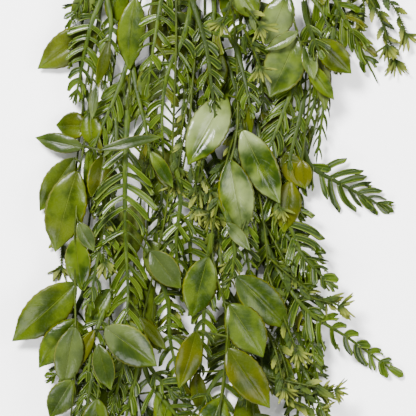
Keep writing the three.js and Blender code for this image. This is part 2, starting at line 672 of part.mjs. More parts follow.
// The least smooth height of all knots that gives each what it needs
function rest(spray) {
  const apart = spray.knots.map(() => new Float64Array(spray.knots.length));
  spray.knots.forEach((knot, k) => {
    for (let other = 0; other < k; other++) {
      apart[k][other] = apart[knot.parent][other] + knot.reach;
      apart[other][k] = apart[k][other];
    }
  });
  spray.knots.forEach((knot, k) => {
    const pulls = spray.knots.map((other, j) => (
      SHARPNESS * ((other.fixed ?? other.need) - STEEPEST * (Math.hypot(apart[k][j], EASING) - EASING))));
    const most = Math.max(...pulls);
    const sum = pulls.reduce((total, pull) => total + Math.exp(pull - most), 0);
    knot.z = knot.fixed ?? (most + Math.log(sum)) / SHARPNESS;
  });
}

// Gives each knot a height, so that the spray lies on the map as a springy thing would
function settle(spray, map) {
  for (let pass = 0; pass < PASSES; pass++) {
    raiseNeeds(spray, map, pass === 0);
    rest(spray);
  }
  // Down again until something touches
  spray.sheets.unshift(stemSheet(spray));
  const settled = (k) => spray.knots[k].z;
  let spare = Infinity;
  for (const sheet of spray.sheets) {
    sample(sheet, (x, y, lift, half, corners, shares) => {
      if (corners.flatMap((p) => knotsOf(p.knot)).some((k) => spray.knots[k].fixed !== undefined)) return;
      const z = corners.reduce((sum, p, k) => sum + shares[k] * heightAt(p.knot, settled), 0);
      spare = Math.min(spare, z + lift - half - CLEARANCE - map[cellOf(x, y)]);
    });
  }
  for (const knot of spray.knots) if (knot.fixed === undefined) knot.z -= spare;
  for (const sheet of spray.sheets) mark(map, sheet, settled);
}

// ---- The whole bunch ----

// One solid of a spray. A leaf that lies clear of the rest is drawn in one sheet with the stem.
function fuse(spray) {
  const [stem, ...others] = spray.sheets;
  const stemSolid = solidOf(stem, spray.knots);
  const solids = others.map((sheet) => solidOf(sheet, spray.knots));
  const joined = others.filter((sheet, i) => {
    if (!sheet.swings) return false;
    const root = spray.knots[sheet.root];
    return [stemSolid, ...solids].every((solid, j) => {
      const met = solid.intersect(solids[i]);
      if (j - 1 === i || met.isEmpty()) return true;
      const { min, max } = met.boundingBox();
      const [across, along] = [0, 1].map((k) => {
        const at = [root.x, root.y][k];
        return Math.max(max[k] - at, at - min[k]);
      });
      return Math.hypot(across, along) < 4;
    });
  });
  const loose = others.filter((sheet) => !joined.includes(sheet));
  const whole = wasm.Manifold.union([
    solidOf(stemSheet(spray, joined), spray.knots),
    ...loose.map((sheet) => solidOf(sheet, spray.knots)),
  ]);
  return whole.decompose().reduce((most, body) => (body.volume() > most.volume() ? body : most));
}

// A solid's triangles, with points nearer than a hair made one and folds without thickness left out
function cleaned(solid) {
  const { vertProperties, triVerts } = solid.getMesh();
  const kept = [];
  let moved = [];
  for (let k = 0; k < vertProperties.length; k += 3) {
    const [x, y, z] = vertProperties.subarray(k, k + 3);
    const same = kept.findIndex(([a, b, c]) => Math.abs(a - x) + Math.abs(b - y) + Math.abs(c - z) < HAIR);
    moved.push(same < 0 ? kept.push([x, y, z]) - 1 : same);
  }
  for (;;) {
    const faces = new Map();
    for (let k = 0; k < triVerts.length; k += 3) {
      const corners = [0, 1, 2].map((j) => moved[triVerts[k + j]]);
      if (new Set(corners).size < 3) continue;
      const key = [...corners].sort((a, b) => a - b).join();
      if (!faces.delete(key)) faces.set(key, corners);
    }
    const corners = [...faces.values()].flat();
    const edges = corners.map((a, k) => `${a},${corners[k % 3 === 2 ? k - 2 : k + 1]}`);
    // An edge that two pairs of faces share is closed up
    const doubled = edges.find((edge, k) => edges.indexOf(edge) !== k);
    if (!doubled) return { points: kept.flat(), corners };
    const [stays, goes] = doubled.split(',').map(Number);
    moved = moved.map((point) => (point === goes ? stays : point));
  }
}

function meshOf(solid, name, kind) {
  const { points, corners } = cleaned(solid);
  const geometry = new THREE.BufferGeometry();
  geometry.setAttribute('position', new THREE.Float32BufferAttribute(points, 3));
  geometry.setIndex(corners);
  const mesh = new THREE.Mesh(geometry, new THREE.MeshStandardMaterial({ ...COLOURS[kind], metalness: 0 }));
  mesh.name = name;
  return mesh;
}

// A stem's slot in its row, from the left in the order of the sides to which they go. Of those that
// turn off to one side, the outermost turns first.
function slotOf(spray) {
  const row = SPRAYS.filter((other) => other.row === spray.row).sort((a, b) => a.stem[0][0] - b.stem[0][0]);
  const place = row.indexOf(spray);
  const x = BOUND_AT[0] + (place - (row.length - 1) / 2) * SLOT_PITCH;
  return {
    x,
    z: BINDING_WALL + BINDING_GAP + STEM_RADIUS + spray.row * SLOT_PITCH,
    turn: FIRST_TURN * (spray.stem[0][0] < x ? 1 + place : row.length - place),
  };
}

// The binding: a rounded band round all the stems
function bindingGeometry() {
  const rows = Math.max(...SPRAYS.map((spray) => spray.row)) + 1;
  const inRow = (row) => SPRAYS.filter((spray) => spray.row === row).length;
  const columns = Math.max(...SPRAYS.map((spray) => inRow(spray.row)));
  const inner = [columns, rows].map((count) => (
    (count - 1) * SLOT_PITCH) / 2 + STEM_RADIUS + BINDING_GAP);
  const outline = (grow, PathClass) => {
    const [w, h] = [inner[0] + grow, inner[1] + grow];
    const r = 2 + grow;
    const path = new PathClass();
    path.moveTo(-w + r, -h).lineTo(w - r, -h).absarc(w - r, -h + r, r, -Math.PI / 2, 0, false);
    path.lineTo(w, h - r).absarc(w - r, h - r, r, 0, Math.PI / 2, false);
    path.lineTo(-w + r, h).absarc(-w + r, h - r, r, Math.PI / 2, Math.PI, false);
    path.lineTo(-w, -h + r).absarc(-w + r, -h + r, r, Math.PI, 1.5 * Math.PI, false);
    return path;
  };
  const band = outline(BINDING_WALL, THREE.Shape);
  band.holes.push(outline(0, THREE.Path));
  const geometry = new THREE.ExtrudeGeometry(band, {
    depth: BINDING_LENGTH, bevelEnabled: false, curveSegments: 3,
  });
  geometry.rotateX(Math.PI / 2);
  geometry.translate(BOUND_AT[0], BOUND_AT[1] + BINDING_LENGTH / 2, inner[1] + BINDING_WALL);
  return geometry;
}

const bunch = new THREE.Group();
const map = new Float64Array(MAP_WIDTH * MAP_HEIGHT).fill(-CLEARANCE);
for (const [place, spray] of SPRAYS.entries()) {
  seed = FIRST_SEED + place;
  Object.assign(spray, { knots: [], sheets: [] });
  addStem(spray, slotOf(spray));
  for (const frond of spray.fronds ?? spray.twigs?.map((path) => ({ path })) ?? []) addFrond(spray, frond);
  for (const leaf of spray.leaves ?? []) addLeaf(spray, leaf);
  if (spray.hanging) addHanging(spray, spray.hanging);
  settle(spray, map);
  bunch.add(meshOf(fuse(spray), spray.name, spray.kind));
}
const binding = new THREE.Mesh(
  bindingGeometry(),
  new THREE.MeshStandardMaterial({ ...COLOURS.binding, metalness: 0 }),
);
binding.name = 'stem_binding';
bunch.add(binding);

// The origin: under the middle of the bunch, on the surface that it lies on
const middle = new THREE.Box3().setFromObject(bunch).getCenter(new THREE.Vector3());
bunch.position.set(-middle.x, -middle.y, 0);

export default bunch;
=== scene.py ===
"""A bunch of artificial trailing foliage laid flat: fern fronds, oval leaves and feathery sprigs on long
stems that a wound cord binds at their cut ends. Metres, +Z up. The stems run from +Y to -Y.
The camera looks straight down, and the photograph's upper edge is towards +Y."""
import math

import bpy
import numpy as np
from mathutils import Matrix, Vector, kdtree


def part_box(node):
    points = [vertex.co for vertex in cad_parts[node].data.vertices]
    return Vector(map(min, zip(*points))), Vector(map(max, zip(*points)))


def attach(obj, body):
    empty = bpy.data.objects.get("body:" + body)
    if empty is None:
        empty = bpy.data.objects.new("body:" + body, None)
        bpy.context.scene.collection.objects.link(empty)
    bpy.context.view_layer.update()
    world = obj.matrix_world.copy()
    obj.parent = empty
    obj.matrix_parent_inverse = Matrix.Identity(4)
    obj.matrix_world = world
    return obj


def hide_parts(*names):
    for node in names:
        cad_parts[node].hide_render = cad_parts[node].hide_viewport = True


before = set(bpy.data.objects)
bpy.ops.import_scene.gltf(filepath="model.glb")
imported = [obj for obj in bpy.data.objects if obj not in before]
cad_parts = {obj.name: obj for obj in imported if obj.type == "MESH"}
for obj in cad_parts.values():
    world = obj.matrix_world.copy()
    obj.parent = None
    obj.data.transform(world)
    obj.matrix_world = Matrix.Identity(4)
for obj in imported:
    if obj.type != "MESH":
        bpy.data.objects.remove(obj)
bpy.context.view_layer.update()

# ---- The place it lies in: a plain pale sheet under broad soft lamps ----
# The camera hangs straight above the middle of what the photograph shows, as wide as its frame.
# The drawing's millimetres start there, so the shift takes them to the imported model's own.
BOUND_AT = (21, 303)
low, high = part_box("stem_binding")
SHIFT = np.array([(low.x + high.x) * 500 - BOUND_AT[0], (low.y + high.y) * 500 - BOUND_AT[1], 0])
PHOTO_WIDTH = 0.362
CAMERA_DISTANCE = 3
CAMERA_HEIGHT = 3.035
SENSOR_WIDTH = 36
FLOOR_HALF = 6
FLOOR_BELOW = 0.0003
PALE_PAPER = (0.92, 0.92, 0.92, 1)
SKY_LIGHT = 0.62
camera_data = bpy.data.cameras.new("camera")
camera_data.sensor_width = SENSOR_WIDTH
camera_data.lens = SENSOR_WIDTH * CAMERA_DISTANCE / PHOTO_WIDTH
camera_data.clip_end = 20
camera = bpy.data.objects.new("camera", camera_data)
camera.location = (SHIFT[0] / 1000, SHIFT[1] / 1000, CAMERA_HEIGHT)
bpy.context.collection.objects.link(camera)
bpy.context.scene.camera = camera

floor_mesh = bpy.data.meshes.new("floor")
corners = [(x * FLOOR_HALF, y * FLOOR_HALF, 0) for x, y in ((-1, -1), (1, -1), (1, 1), (-1, 1))]
floor_mesh.from_pydata(corners, [], [(0, 1, 2, 3)])
floor = bpy.data.objects.new("floor", floor_mesh)
floor.location.z = -FLOOR_BELOW
bpy.context.collection.objects.link(floor)
paper = bpy.data.materials.new("floor_paper")
paper.use_nodes = True
shader = paper.node_tree.nodes["Principled BSDF"]
shader.inputs["Base Color"].default_value = PALE_PAPER
shader.inputs["Roughness"].default_value = 0.9
floor_mesh.materials.append(paper)


def add_lamp(name, place, size, power):
    """A square soft lamp that looks at the middle of the bunch"""
    data = bpy.data.lights.new(name, "AREA")
    data.size = size
    data.energy = power
    lamp = bpy.data.objects.new(name, data)
    lamp.location = place
    lamp.rotation_euler = (-Vector(place)).to_track_quat("-Z", "Y").to_euler()
    bpy.context.collection.objects.link(lamp)


add_lamp("key", (-0.75, 1.0, 2.0), 0.6, 235)
add_lamp("fill", (1.7, 0.1, 1.5), 1.2, 75)
add_lamp("low", (-0.4, -1.7, 1.5), 1.0, 62)
world = bpy.data.worlds.new("sky")
world.use_nodes = True
sky = world.node_tree.nodes["Background"]
sky.inputs["Color"].default_value = (1, 1, 1, 1)
sky.inputs["Strength"].default_value = SKY_LIGHT
bpy.context.scene.world = world

# ---- Stems: thin wires in green plastic, one for each spray, which trail side by side from the cord ----
# Each leaves its place in the cord's rows, bends to its drawn line, and lies as high as its solid does.
# Below are its name, what it bears, its row in the cord, and its line across the sheet in millimetres.
STEMS = [
    ("back_fern_left", "fern", 0, [(-59, 246), (-108, 172), (-111, 103), (-101, 24), (-108, -45),
                                   (-101, -115), (-97, -184), (-94, -232)]),
    ("back_leaves_left", "leaf", 0, [(-37, 246), (-50, 164), (-50, 85), (-59, 7), (-66, -71),
                                     (-63, -150), (-50, -228)]),
    ("back_fern_middle", "fern", 0, [(-3, 251), (-3, 164), (-10, 77), (-3, -10), (-10, -97),
                                     (-16, -167), (-10, -237)]),
    ("back_leaves_middle", "leaf", 0, [(28, 251), (40, 155), (37, 68), (47, -10), (37, -97), (28, -167),
                                       (24, -228)]),
    ("back_fern_right", "fern", 0, [(71, 249), (96, 172), (99, 103), (84, 33), (67, -28), (64, -97),
                                    (71, -167), (68, -228)]),
    ("sprig_top_right", "sprig", 0, [(90, 249), (115, 220), (129, 198)]),
    ("leaves_behind_left", "leaf", 1, [(-37, 242), (-31, 181), (-42, 111), (-49, 42), (-54, -28),
                                       (-59, -89), (-64, -141), (-61, -193)]),
    ("leaves_behind_right", "leaf", 1, [(47, 242), (33, 181), (24, 129), (38, 85), (59, 50), (62, 7),
                                        (54, -45), (42, -97), (38, -150), (42, -202)]),
    ("fern_edge_right", "fern", 1, [(106, 242), (118, 207)]),
    ("fern_inner", "fern", 1, [(3, 242), (7, 164), (0, 103), (-7, 50), (-10, 16), (-3, -28), (12, -63),
                               (16, -80)]),
    ("sprig_left", "sprig", 1, [(-78, 242), (-97, 164), (-108, 103), (-115, 42), (-118, -2)]),
    ("sprig_inner", "sprig", 1, [(-16, 242), (-10, 164), (-14, 103), (-19, 50), (-31, -2), (-44, -54),
                                 (-49, -96)]),
    ("fern_right", "fern", 2, [(77, 242), (87, 164), (85, 103), (83, 59)]),
    ("fern_low_right", "fern", 2, [(38, 242), (47, 164), (47, 85), (42, 33), (41, 3)]),
    ("leaves_left", "leaf", 2, [(-59, 242), (-90, 190), (-97, 146), (-104, 94), (-108, 59), (-113, 24),
                                (-116, -28), (-116, -80), (-115, -124), (-118, -167), (-124, -211),
                                (-127, -245)]),
    ("leaves_low_left", "leaf", 2, [(-49, 242), (-73, 190), (-82, 129), (-89, 77), (-90, 33),
                                    (-89, -28), (-85, -80), (-90, -124), (-96, -167), (-97, -211)]),
    ("fern_top_right", "fern", 2, [(59, 242), (77, 207), (84, 181)]),
    ("sprig_low_right", "sprig", 2, [(17, 242), (28, 164), (30, 111), (37, 50), (47, -2), (52, -54),
                                     (47, -106), (47, -146)]),
    ("fern_left", "fern", 3, [(-42, 242), (-59, 181), (-67, 129), (-70, 85)]),
    ("fern_upper_left", "fern", 3, [(-63, 242), (-80, 216), (-90, 190)]),
    ("leaves_upper_left", "leaf", 3, [(-31, 242), (-50, 216), (-63, 184)]),
    ("fern_middle", "fern", 3, [(-3, 237), (-9, 207), (-14, 181)]),
    ("fern_low_left", "fern", 3, [(-23, 242), (-28, 129), (-33, 24), (-45, -45), (-57, -97),
                                  (-59, -125)]),
    ("leaves_centre", "leaf", 3, [(16, 242), (19, 198), (24, 146), (26, 103), (24, 59), (12, 16),
                                  (3, -28), (10, -68), (17, -97), (14, -141), (9, -184), (6, -231)]),
    ("leaves_right", "leaf", 3, [(37, 242), (66, 216), (71, 181), (78, 150), (89, 111), (85, 68),
                                 (82, 42)]),
]
FIRST_SEED = 120
STEM_STEP = 15
STEM_RADIUS = 1.25
# In the cord: from one stem to the next, the first row's height, where the stems start and leave the
# cord from its middle, and how much further down each stem turns off than the one outside it
SLOT_PITCH = 3.3
FIRST_ROW = 3.95
BOUND_ENDS = (30, -8)
TURN_PITCH = 3.5
# How near a drawn point one of the solid's points counts, at leaves and fronds and at stems
POINT_REACH = 0.12
STEM_REACH = 1.1
# Parts of a curve's piece from one drawn point to the next
CURVE_STEPS = 16
# Metres over the sheet, under which a piece is pressed together
PRESSED_BELOW = 0.0015
STEM_DARK = (0.0120, 0.0195, 0.0003)
STEM_LIGHT = (0.0280, 0.0410, 0.0005)
drawn_so_far = FIRST_SEED


def random():
    """The CAD's own repeatable number from 0 to 1, so that what grows here is what grows there"""
    global drawn_so_far
    word = 0xFFFFFFFF
    drawn_so_far = (drawn_so_far + 0x6D2B79F5) & word
    mixed = ((drawn_so_far ^ (drawn_so_far >> 15)) * (1 | drawn_so_far)) & word
    mixed = ((mixed + (mixed ^ (mixed >> 7)) * (61 | mixed)) & word) ^ mixed
    return (mixed ^ (mixed >> 14)) / 4294967296


def between(least, most):
    """A number of the same row between two others"""
    return least + (most - least) * random()


def walk(points, step):
    """Equal steps along a smooth curve through the points: x, y and heading of each"""
    points = np.array(points, float)
    fine = []
    for i in range(len(points) - 1):
        a, b, c, d = (points[min(max(k, 0), len(points) - 1)] for k in (i - 1, i, i + 1, i + 2))
        for k in range(1 if i else 0, CURVE_STEPS + 1):
            u = k / CURVE_STEPS
            bend = 2 * a - 5 * b + 4 * c - d + u * (3 * (b - c) + d - a)
            fine.append(b + 0.5 * u * (c - a + u * bend))
    fine = np.array(fine)
    along = np.concatenate([[0], np.cumsum(np.hypot(*np.diff(fine, axis=0).T))])
    count = max(1, math.floor(along[-1] / step + 0.5))
    goals = along[-1] * np.arange(count + 1) / count
    places = np.stack([np.interp(goals, along, fine[:, j]) for j in (0, 1)], axis=1)
    ends = np.concatenate([places[:1], places, places[-1:]])
    across = ends[2:] - ends[:-2]
    return [(x, y, math.atan2(dy, dx)) for (x, y), (dx, dy) in zip(places, across)]


class Stem:
    """A spray's stem. It finds heights, in millimetres, where the spray's solid has points."""

    def __init__(self, order, name, row, drawn):
        self.order, self.name = order, name
        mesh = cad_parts[name].data
        self.heights = [vertex.co.z * 1000 for vertex in mesh.vertices]
        self.tree = kdtree.KDTree(len(mesh.vertices))
        for k, vertex in enumerate(mesh.vertices):
            x, y, _ = np.array(vertex.co) * 1000 - SHIFT
            self.tree.insert((x, y, 0), k)
        self.tree.balance()
        # Its place in the cord: the stems of a row stand in the order of their drawn starts
        starts = sorted(other[3][0][0] for other in STEMS if other[2] == row)
        place = starts.index(drawn[0][0])
        x = BOUND_AT[0] + (place - (len(starts) - 1) / 2) * SLOT_PITCH
        turn = TURN_PITCH * (1 + place if drawn[0][0] < x else len(starts) - place)
        bound = [(x, BOUND_AT[1] + y, -math.pi / 2) for y in BOUND_ENDS]
        self.line = bound + walk([(x, bound[1][1] - turn), *drawn], STEM_STEP)
        self.z = self.along(self.line, reach=STEM_REACH)
        self.z[:3] = FIRST_ROW + row * SLOT_PITCH

    def at(self, x, y, reach=POINT_REACH):
        """The middle height of the solid's points near a place, or None where it has none"""
        found = [self.heights[k] for _, k, _ in self.tree.find_range((x, y, 0), reach)]
        return (min(found) + max(found)) / 2 if found else None

    def along(self, places, first=None, reach=POINT_REACH):
        """Heights of places in a row, with gaps filled from their neighbours"""
        z = [self.at(place[0], place[1], reach) for place in places]
        if first is not None:
            z[0] = first
        known = [k for k, value in enumerate(z) if value is not None]
        return np.interp(range(len(z)), known, [z[k] for k in known])

    def nearest(self, place):
        """The knot below the cord that is nearest to a place"""
        return min(range(3, len(self.line)), key=lambda k: math.hypot(
            self.line[k][0] - place[0], self.line[k][1] - place[1]))

    def reseed(self):
        """Starts the row of numbers of this spray's solid again"""
        global drawn_so_far
        drawn_so_far = FIRST_SEED + self.order

    def hanging(self, every, length, first=-1):
        """Knots that bear something by turns to the right and left, with its side, aim and length"""
        side = -first
        for k in range(6, len(self.line), round(every / STEM_STEP)):
            side = -side
            x, y, _ = self.line[k]
            down = math.atan2(y - self.line[k - 1][1], x - self.line[k - 1][0])
            aim = down + side * between(0.35, 0.7)
            yield k, side, aim, length * between(0.88, 1.1)


def feed(tree, socket, value):
    """Links a socket to another node's output, or sets it to a plain value"""
    if isinstance(value, bpy.types.NodeSocket):
        tree.links.new(value, socket)
    else:
        socket.default_value = value


def add_node(tree, kind, settings, inputs):
    """A node, with its inputs set or linked by name, or by number as n0, n1 and so on"""
    node = tree.nodes.new(kind)
    for name, value in (settings or {}).items():
        setattr(node, name, value)
    for name, value in inputs.items():
        key = int(name[1:]) if name[1:].isdigit() else name.replace("_", " ")
        feed(tree, node.inputs[key], value)
    return node


def add(tree, kind, settings=None, **inputs):
    """A shader node"""
    return add_node(tree, "ShaderNode" + kind, settings, inputs)


def attribute(tree, name, output="Fac"):
    """What a mesh's points carry under a name"""
    return add(tree, "Attribute", {"attribute_name": name}).outputs[output]


def calc(tree, operation, a, b=0.0, c=0.0):
    """The result of a sum, a product or the like"""
    return add(tree, "Math", {"operation": operation}, n0=a, n1=b, n2=c).outputs[0]


def step(tree, value, start, end, low=0.0, high=1.0):
    """From low to high as the value goes from start to end, smoothly"""
    return add(tree, "MapRange", {"interpolation_type": "SMOOTHSTEP"}, Value=value, From_Min=start,
               From_Max=end, To_Min=low, To_Max=high).outputs[0]


def blend_colours(tree, share, first, second):
    """From the first colour to the second, each a node's output or plain"""
    mixer = add(tree, "Mix", {"data_type": "RGBA"}, n0=share)
    for key, value in ((6, first), (7, second)):
        feed(tree, mixer.inputs[key], (*value, 1) if isinstance(value, tuple) else value)
    return mixer.outputs[2]


def noise(tree, scale, detail=3.0, stretch=(1, 1, 1)):
    """Soft patches, scale of them to the metre"""
    place = add(tree, "TexCoord").outputs["Object"]
    place = add(tree, "Mapping", Vector=place, Scale=stretch).outputs[0]
    return add(tree, "TexNoise", Vector=place, Scale=scale, Detail=detail).outputs["Fac"]


def new_material(name, roughness, shine=0.15):
    """A material with its tree and its shader"""
    material = bpy.data.materials.new(name)
    material.use_nodes = True
    shader = material.node_tree.nodes["Principled BSDF"]
    shader.inputs["Roughness"].default_value = roughness
    shader.inputs["Specular IOR Level"].default_value = shine
    return material, material.node_tree, shader


def bumped(tree, shader, height, distance):
    """Raises the surface by a height, over a distance in metres"""
    bump = add(tree, "Bump", Height=height, Distance=distance, Strength=1.0)
    tree.links.new(bump.outputs[0], shader.inputs["Normal"])


def stalk_material(name, dark, light):
    """Moulded green plastic with long streaks, paler where its tint is high"""
    material, tree, shader = new_material(name, 0.42, 0.1)
    streaks = noise(tree, 60, 3, (6, 1, 6))
    grain = noise(tree, 700, 3)
    tint = attribute(tree, "tint")
    colour = blend_colours(tree, step(tree, streaks, 0.35, 0.65), dark, light)
    colour = blend_colours(tree, step(tree, tint, 0.5, 1, 0, 0.8), colour, (0.0840, 0.1092, 0.0132))
    colour = blend_colours(tree, step(tree, tint, 0.3, 0, 0, 0.75), colour, (0.0075, 0.0145, 0.0002))
    tree.links.new(colour, shader.inputs["Base Color"])
    bumped(tree, shader, calc(tree, "ADD", grain, streaks), 0.0003)
    return material


def new_tree(name, sockets):
    """A Geometry Nodes tree with named inputs, and a function that adds a node and links its inputs"""
    tree = bpy.data.node_groups.new(name, "GeometryNodeTree")
    for label, kind in sockets:
        tree.interface.new_socket(label, in_out="INPUT", socket_type="NodeSocket" + kind)
    tree.interface.new_socket("Geometry", in_out="OUTPUT", socket_type="NodeSocketGeometry")

    def make(kind, settings=None, **inputs):
        return add_node(tree, kind, settings, inputs)

    return tree, make, make("NodeGroupInput").outputs


def stored(make, name, kind="FLOAT"):
    """What the mesh's points carry under a name"""
    return make("GeometryNodeInputNamedAttribute", {"data_type": kind}, Name=name).outputs["Attribute"]


def sweeping_tree():
    """Sweeps a flattened round along each path, as thick as its points say"""
    tree, make, given = new_tree("round_along_paths", (
        ("Paths", "Geometry"), ("Sides", "Int"), ("Flatness", "Float"), ("Finish", "Material")))
    curves = make("GeometryNodeMeshToCurve", n0=given["Paths"])
    smooth = make("GeometryNodeCurveSplineType", {"spline_type": "CATMULL_ROM"}, Curve=curves.outputs[0])
    finer = make("GeometryNodeSetSplineResolution", n0=smooth.outputs[0], Resolution=3)
    upright = make("GeometryNodeSetCurveNormal", {"mode": "Z_UP"}, n0=finer.outputs[0])
    ring = make("GeometryNodeCurvePrimitiveCircle", Resolution=given["Sides"], Radius=1.0)
    squash = make("ShaderNodeCombineXYZ", n0=1.0, n1=given["Flatness"], n2=1.0)
    flat = make("GeometryNodeTransform", Geometry=ring.outputs[0], Scale=squash.outputs[0])
    swept_round = make("GeometryNodeCurveToMesh", Curve=upright.outputs[0], Profile_Curve=flat.outputs[0],
                       Scale=stored(make, "thick"), Fill_Caps=True)
    whole = make("GeometryNodeRealizeInstances", n0=swept_round.outputs[0])
    finished = make("GeometryNodeSetMaterial", Geometry=whole.outputs[0], Material=given["Finish"])
    make("NodeGroupOutput", n0=finished.outputs[0])
    return tree


def run_tree(name, mesh, tree, **values):
    """The plain smooth mesh that a tree makes of another"""
    holder = bpy.data.objects.new(name, mesh)
    bpy.context.collection.objects.link(holder)
    modifier = holder.modifiers.new("tree", "NODES")
    modifier.node_group = tree
    for item in tree.interface.items_tree:
        if item.in_out == "INPUT" and item.name in values:
            modifier[item.identifier] = values[item.name]
    bpy.context.view_layer.update()
    evaluated = holder.evaluated_get(bpy.context.evaluated_depsgraph_get())
    made = bpy.data.meshes.new_from_object(evaluated)
    made.name = name
    made.polygons.foreach_set("use_smooth", [True] * len(made.polygons))
    holder.modifiers.clear()
    bpy.data.objects.remove(holder)
    return made


def swept(name, paths, material, sides=8, flatness=1.0):
    """A mesh of rounds along paths, each a list of points, radii, and a tint if it isn't plain"""
    mesh = bpy.data.meshes.new(name + "_paths")
    points, edges, radii, tints = [], [], [], []
    for path, thick, *tint in paths:
        first = len(points)
        points += [((x + SHIFT[0]) / 1000, (y + SHIFT[1]) / 1000, z / 1000) for x, y, z in path]
        edges += [(k, k + 1) for k in range(first, len(points) - 1)]
        radii += [radius / 1000 for radius in thick]
        tints += [tint[0] if tint else 0.5] * len(path)
    mesh.from_pydata(points, edges, [])
    mesh.attributes.new("thick", "FLOAT", "POINT").data.foreach_set("value", radii)
    mesh.attributes.new("tint", "FLOAT", "POINT").data.foreach_set("value", tints)
    return run_tree(name, mesh, sweeping, Sides=sides, Flatness=flatness, Finish=material)


def press_on_sheet(mesh):
    """What would dip into the sheet under the bunch is pressed flat on it, its upper side still on top"""
    places = np.empty(len(mesh.vertices) * 3)
    mesh.vertices.foreach_get("co", places)
    heights = places[2::3]
    pressed = PRESSED_BELOW * np.exp(heights / PRESSED_BELOW - 1)
    places[2::3] = np.where(heights < PRESSED_BELOW, pressed, heights)
    mesh.vertices.foreach_set("co", places)
    mesh.update()


def piece(name, mesh, node, slot, material=None):
    """A finished piece in place of a node's solid"""
    press_on_sheet(mesh)
    made = bpy.data.objects.new(name, mesh)
    bpy.context.collection.objects.link(made)
    if material:
        mesh.materials.append(material)
    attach(made, "root")
    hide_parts(node)
    return made


sweeping = sweeping_tree()
stem_skin = stalk_material("stem_skin", STEM_DARK, STEM_LIGHT)
stems = {}
for order, (name, kind, row, drawn) in enumerate(STEMS):
    stem = stems[name] = Stem(order, name, row, drawn)
    last = len(stem.line) - 1
    points = [(x, y, z) for (x, y, _), z in zip(stem.line, stem.z)]
    radii = [STEM_RADIUS * (1 - 0.35 * k / last) for k in range(last + 1)]
    piece(name + "_stem", swept(name + "_stem", [(points, radii)], stem_skin), name, kind)

# ---- Fern fronds: soft moulded plastic, a flat stalk with lobes on both sides in one piece ----
# The lobes have a channel down their middle and raised rims; some are forked or notched at the tip.
# Each frond is its path from the stem that bears it, its lobes' full length, and how wide they spread.
FRONDS = {
    "back_fern_right": [
        ([(64, -80), (80, -115), (97, -155)], 22, 1.08),
    ],
    "fern_edge_right": [
        ([(118, 207), (112, 164), (99, 111), (87, 72), (78, 37)], 24, 0.6),
    ],
    "fern_inner": [
        ([(-10, 16), (-15, -15), (-15, -47), (-10, -80)], 22, 1.08),
        ([(16, -80), (17, -124), (12, -167), (7, -212)], 22, 1.08),
    ],
    "fern_right": [
        ([(83, 59), (90, 37), (117, 21), (151, 3)], 29, 1.08),
    ],
    "fern_low_right": [
        ([(41, 3), (58, -47), (85, -88), (123, -114), (159, -140)], 31, 1),
        ([(42, 33), (61, 2), (77, -28), (87, -56)], 34, 0.85),
    ],
    "fern_top_right": [
        ([(84, 181), (90, 157), (94, 132), (94, 108)], 26, 1.08),
        ([(71, 221), (99, 198), (118, 169), (144, 120)], 24, 1.08),
    ],
    "fern_left": [
        ([(-70, 85), (-72, 33), (-72, -28), (-70, -80), (-77, -120)], 37, 0.85),
    ],
    "fern_upper_left": [
        ([(-90, 190), (-101, 164), (-108, 136), (-115, 101)], 22, 1.08),
    ],
    "fern_middle": [
        ([(-14, 181), (-21, 150), (-35, 118), (-40, 84), (-39, 46)], 25, 1.08),
        ([(-9, 207), (-37, 190), (-45, 155), (-52, 108)], 24, 1.08),
        ([(-14, 181), (-5, 158), (16, 150), (44, 148)], 22, 1.08),
    ],
    "fern_low_left": [
        ([(-59, -125), (-50, -153), (-31, -177), (-7, -205)], 26, 1.08),
        ([(-45, -45), (-35, -80), (-33, -115), (-24, -153)], 22, 1.08),
    ],
}
HANGING_FRONDS = {
    "back_fern_left": dict(every=180, length=96, lobe=25, first=-1),
    "back_fern_middle": dict(every=180, length=98, lobe=24, first=-1),
    "back_fern_right": dict(every=180, length=92, lobe=24, first=1),
}
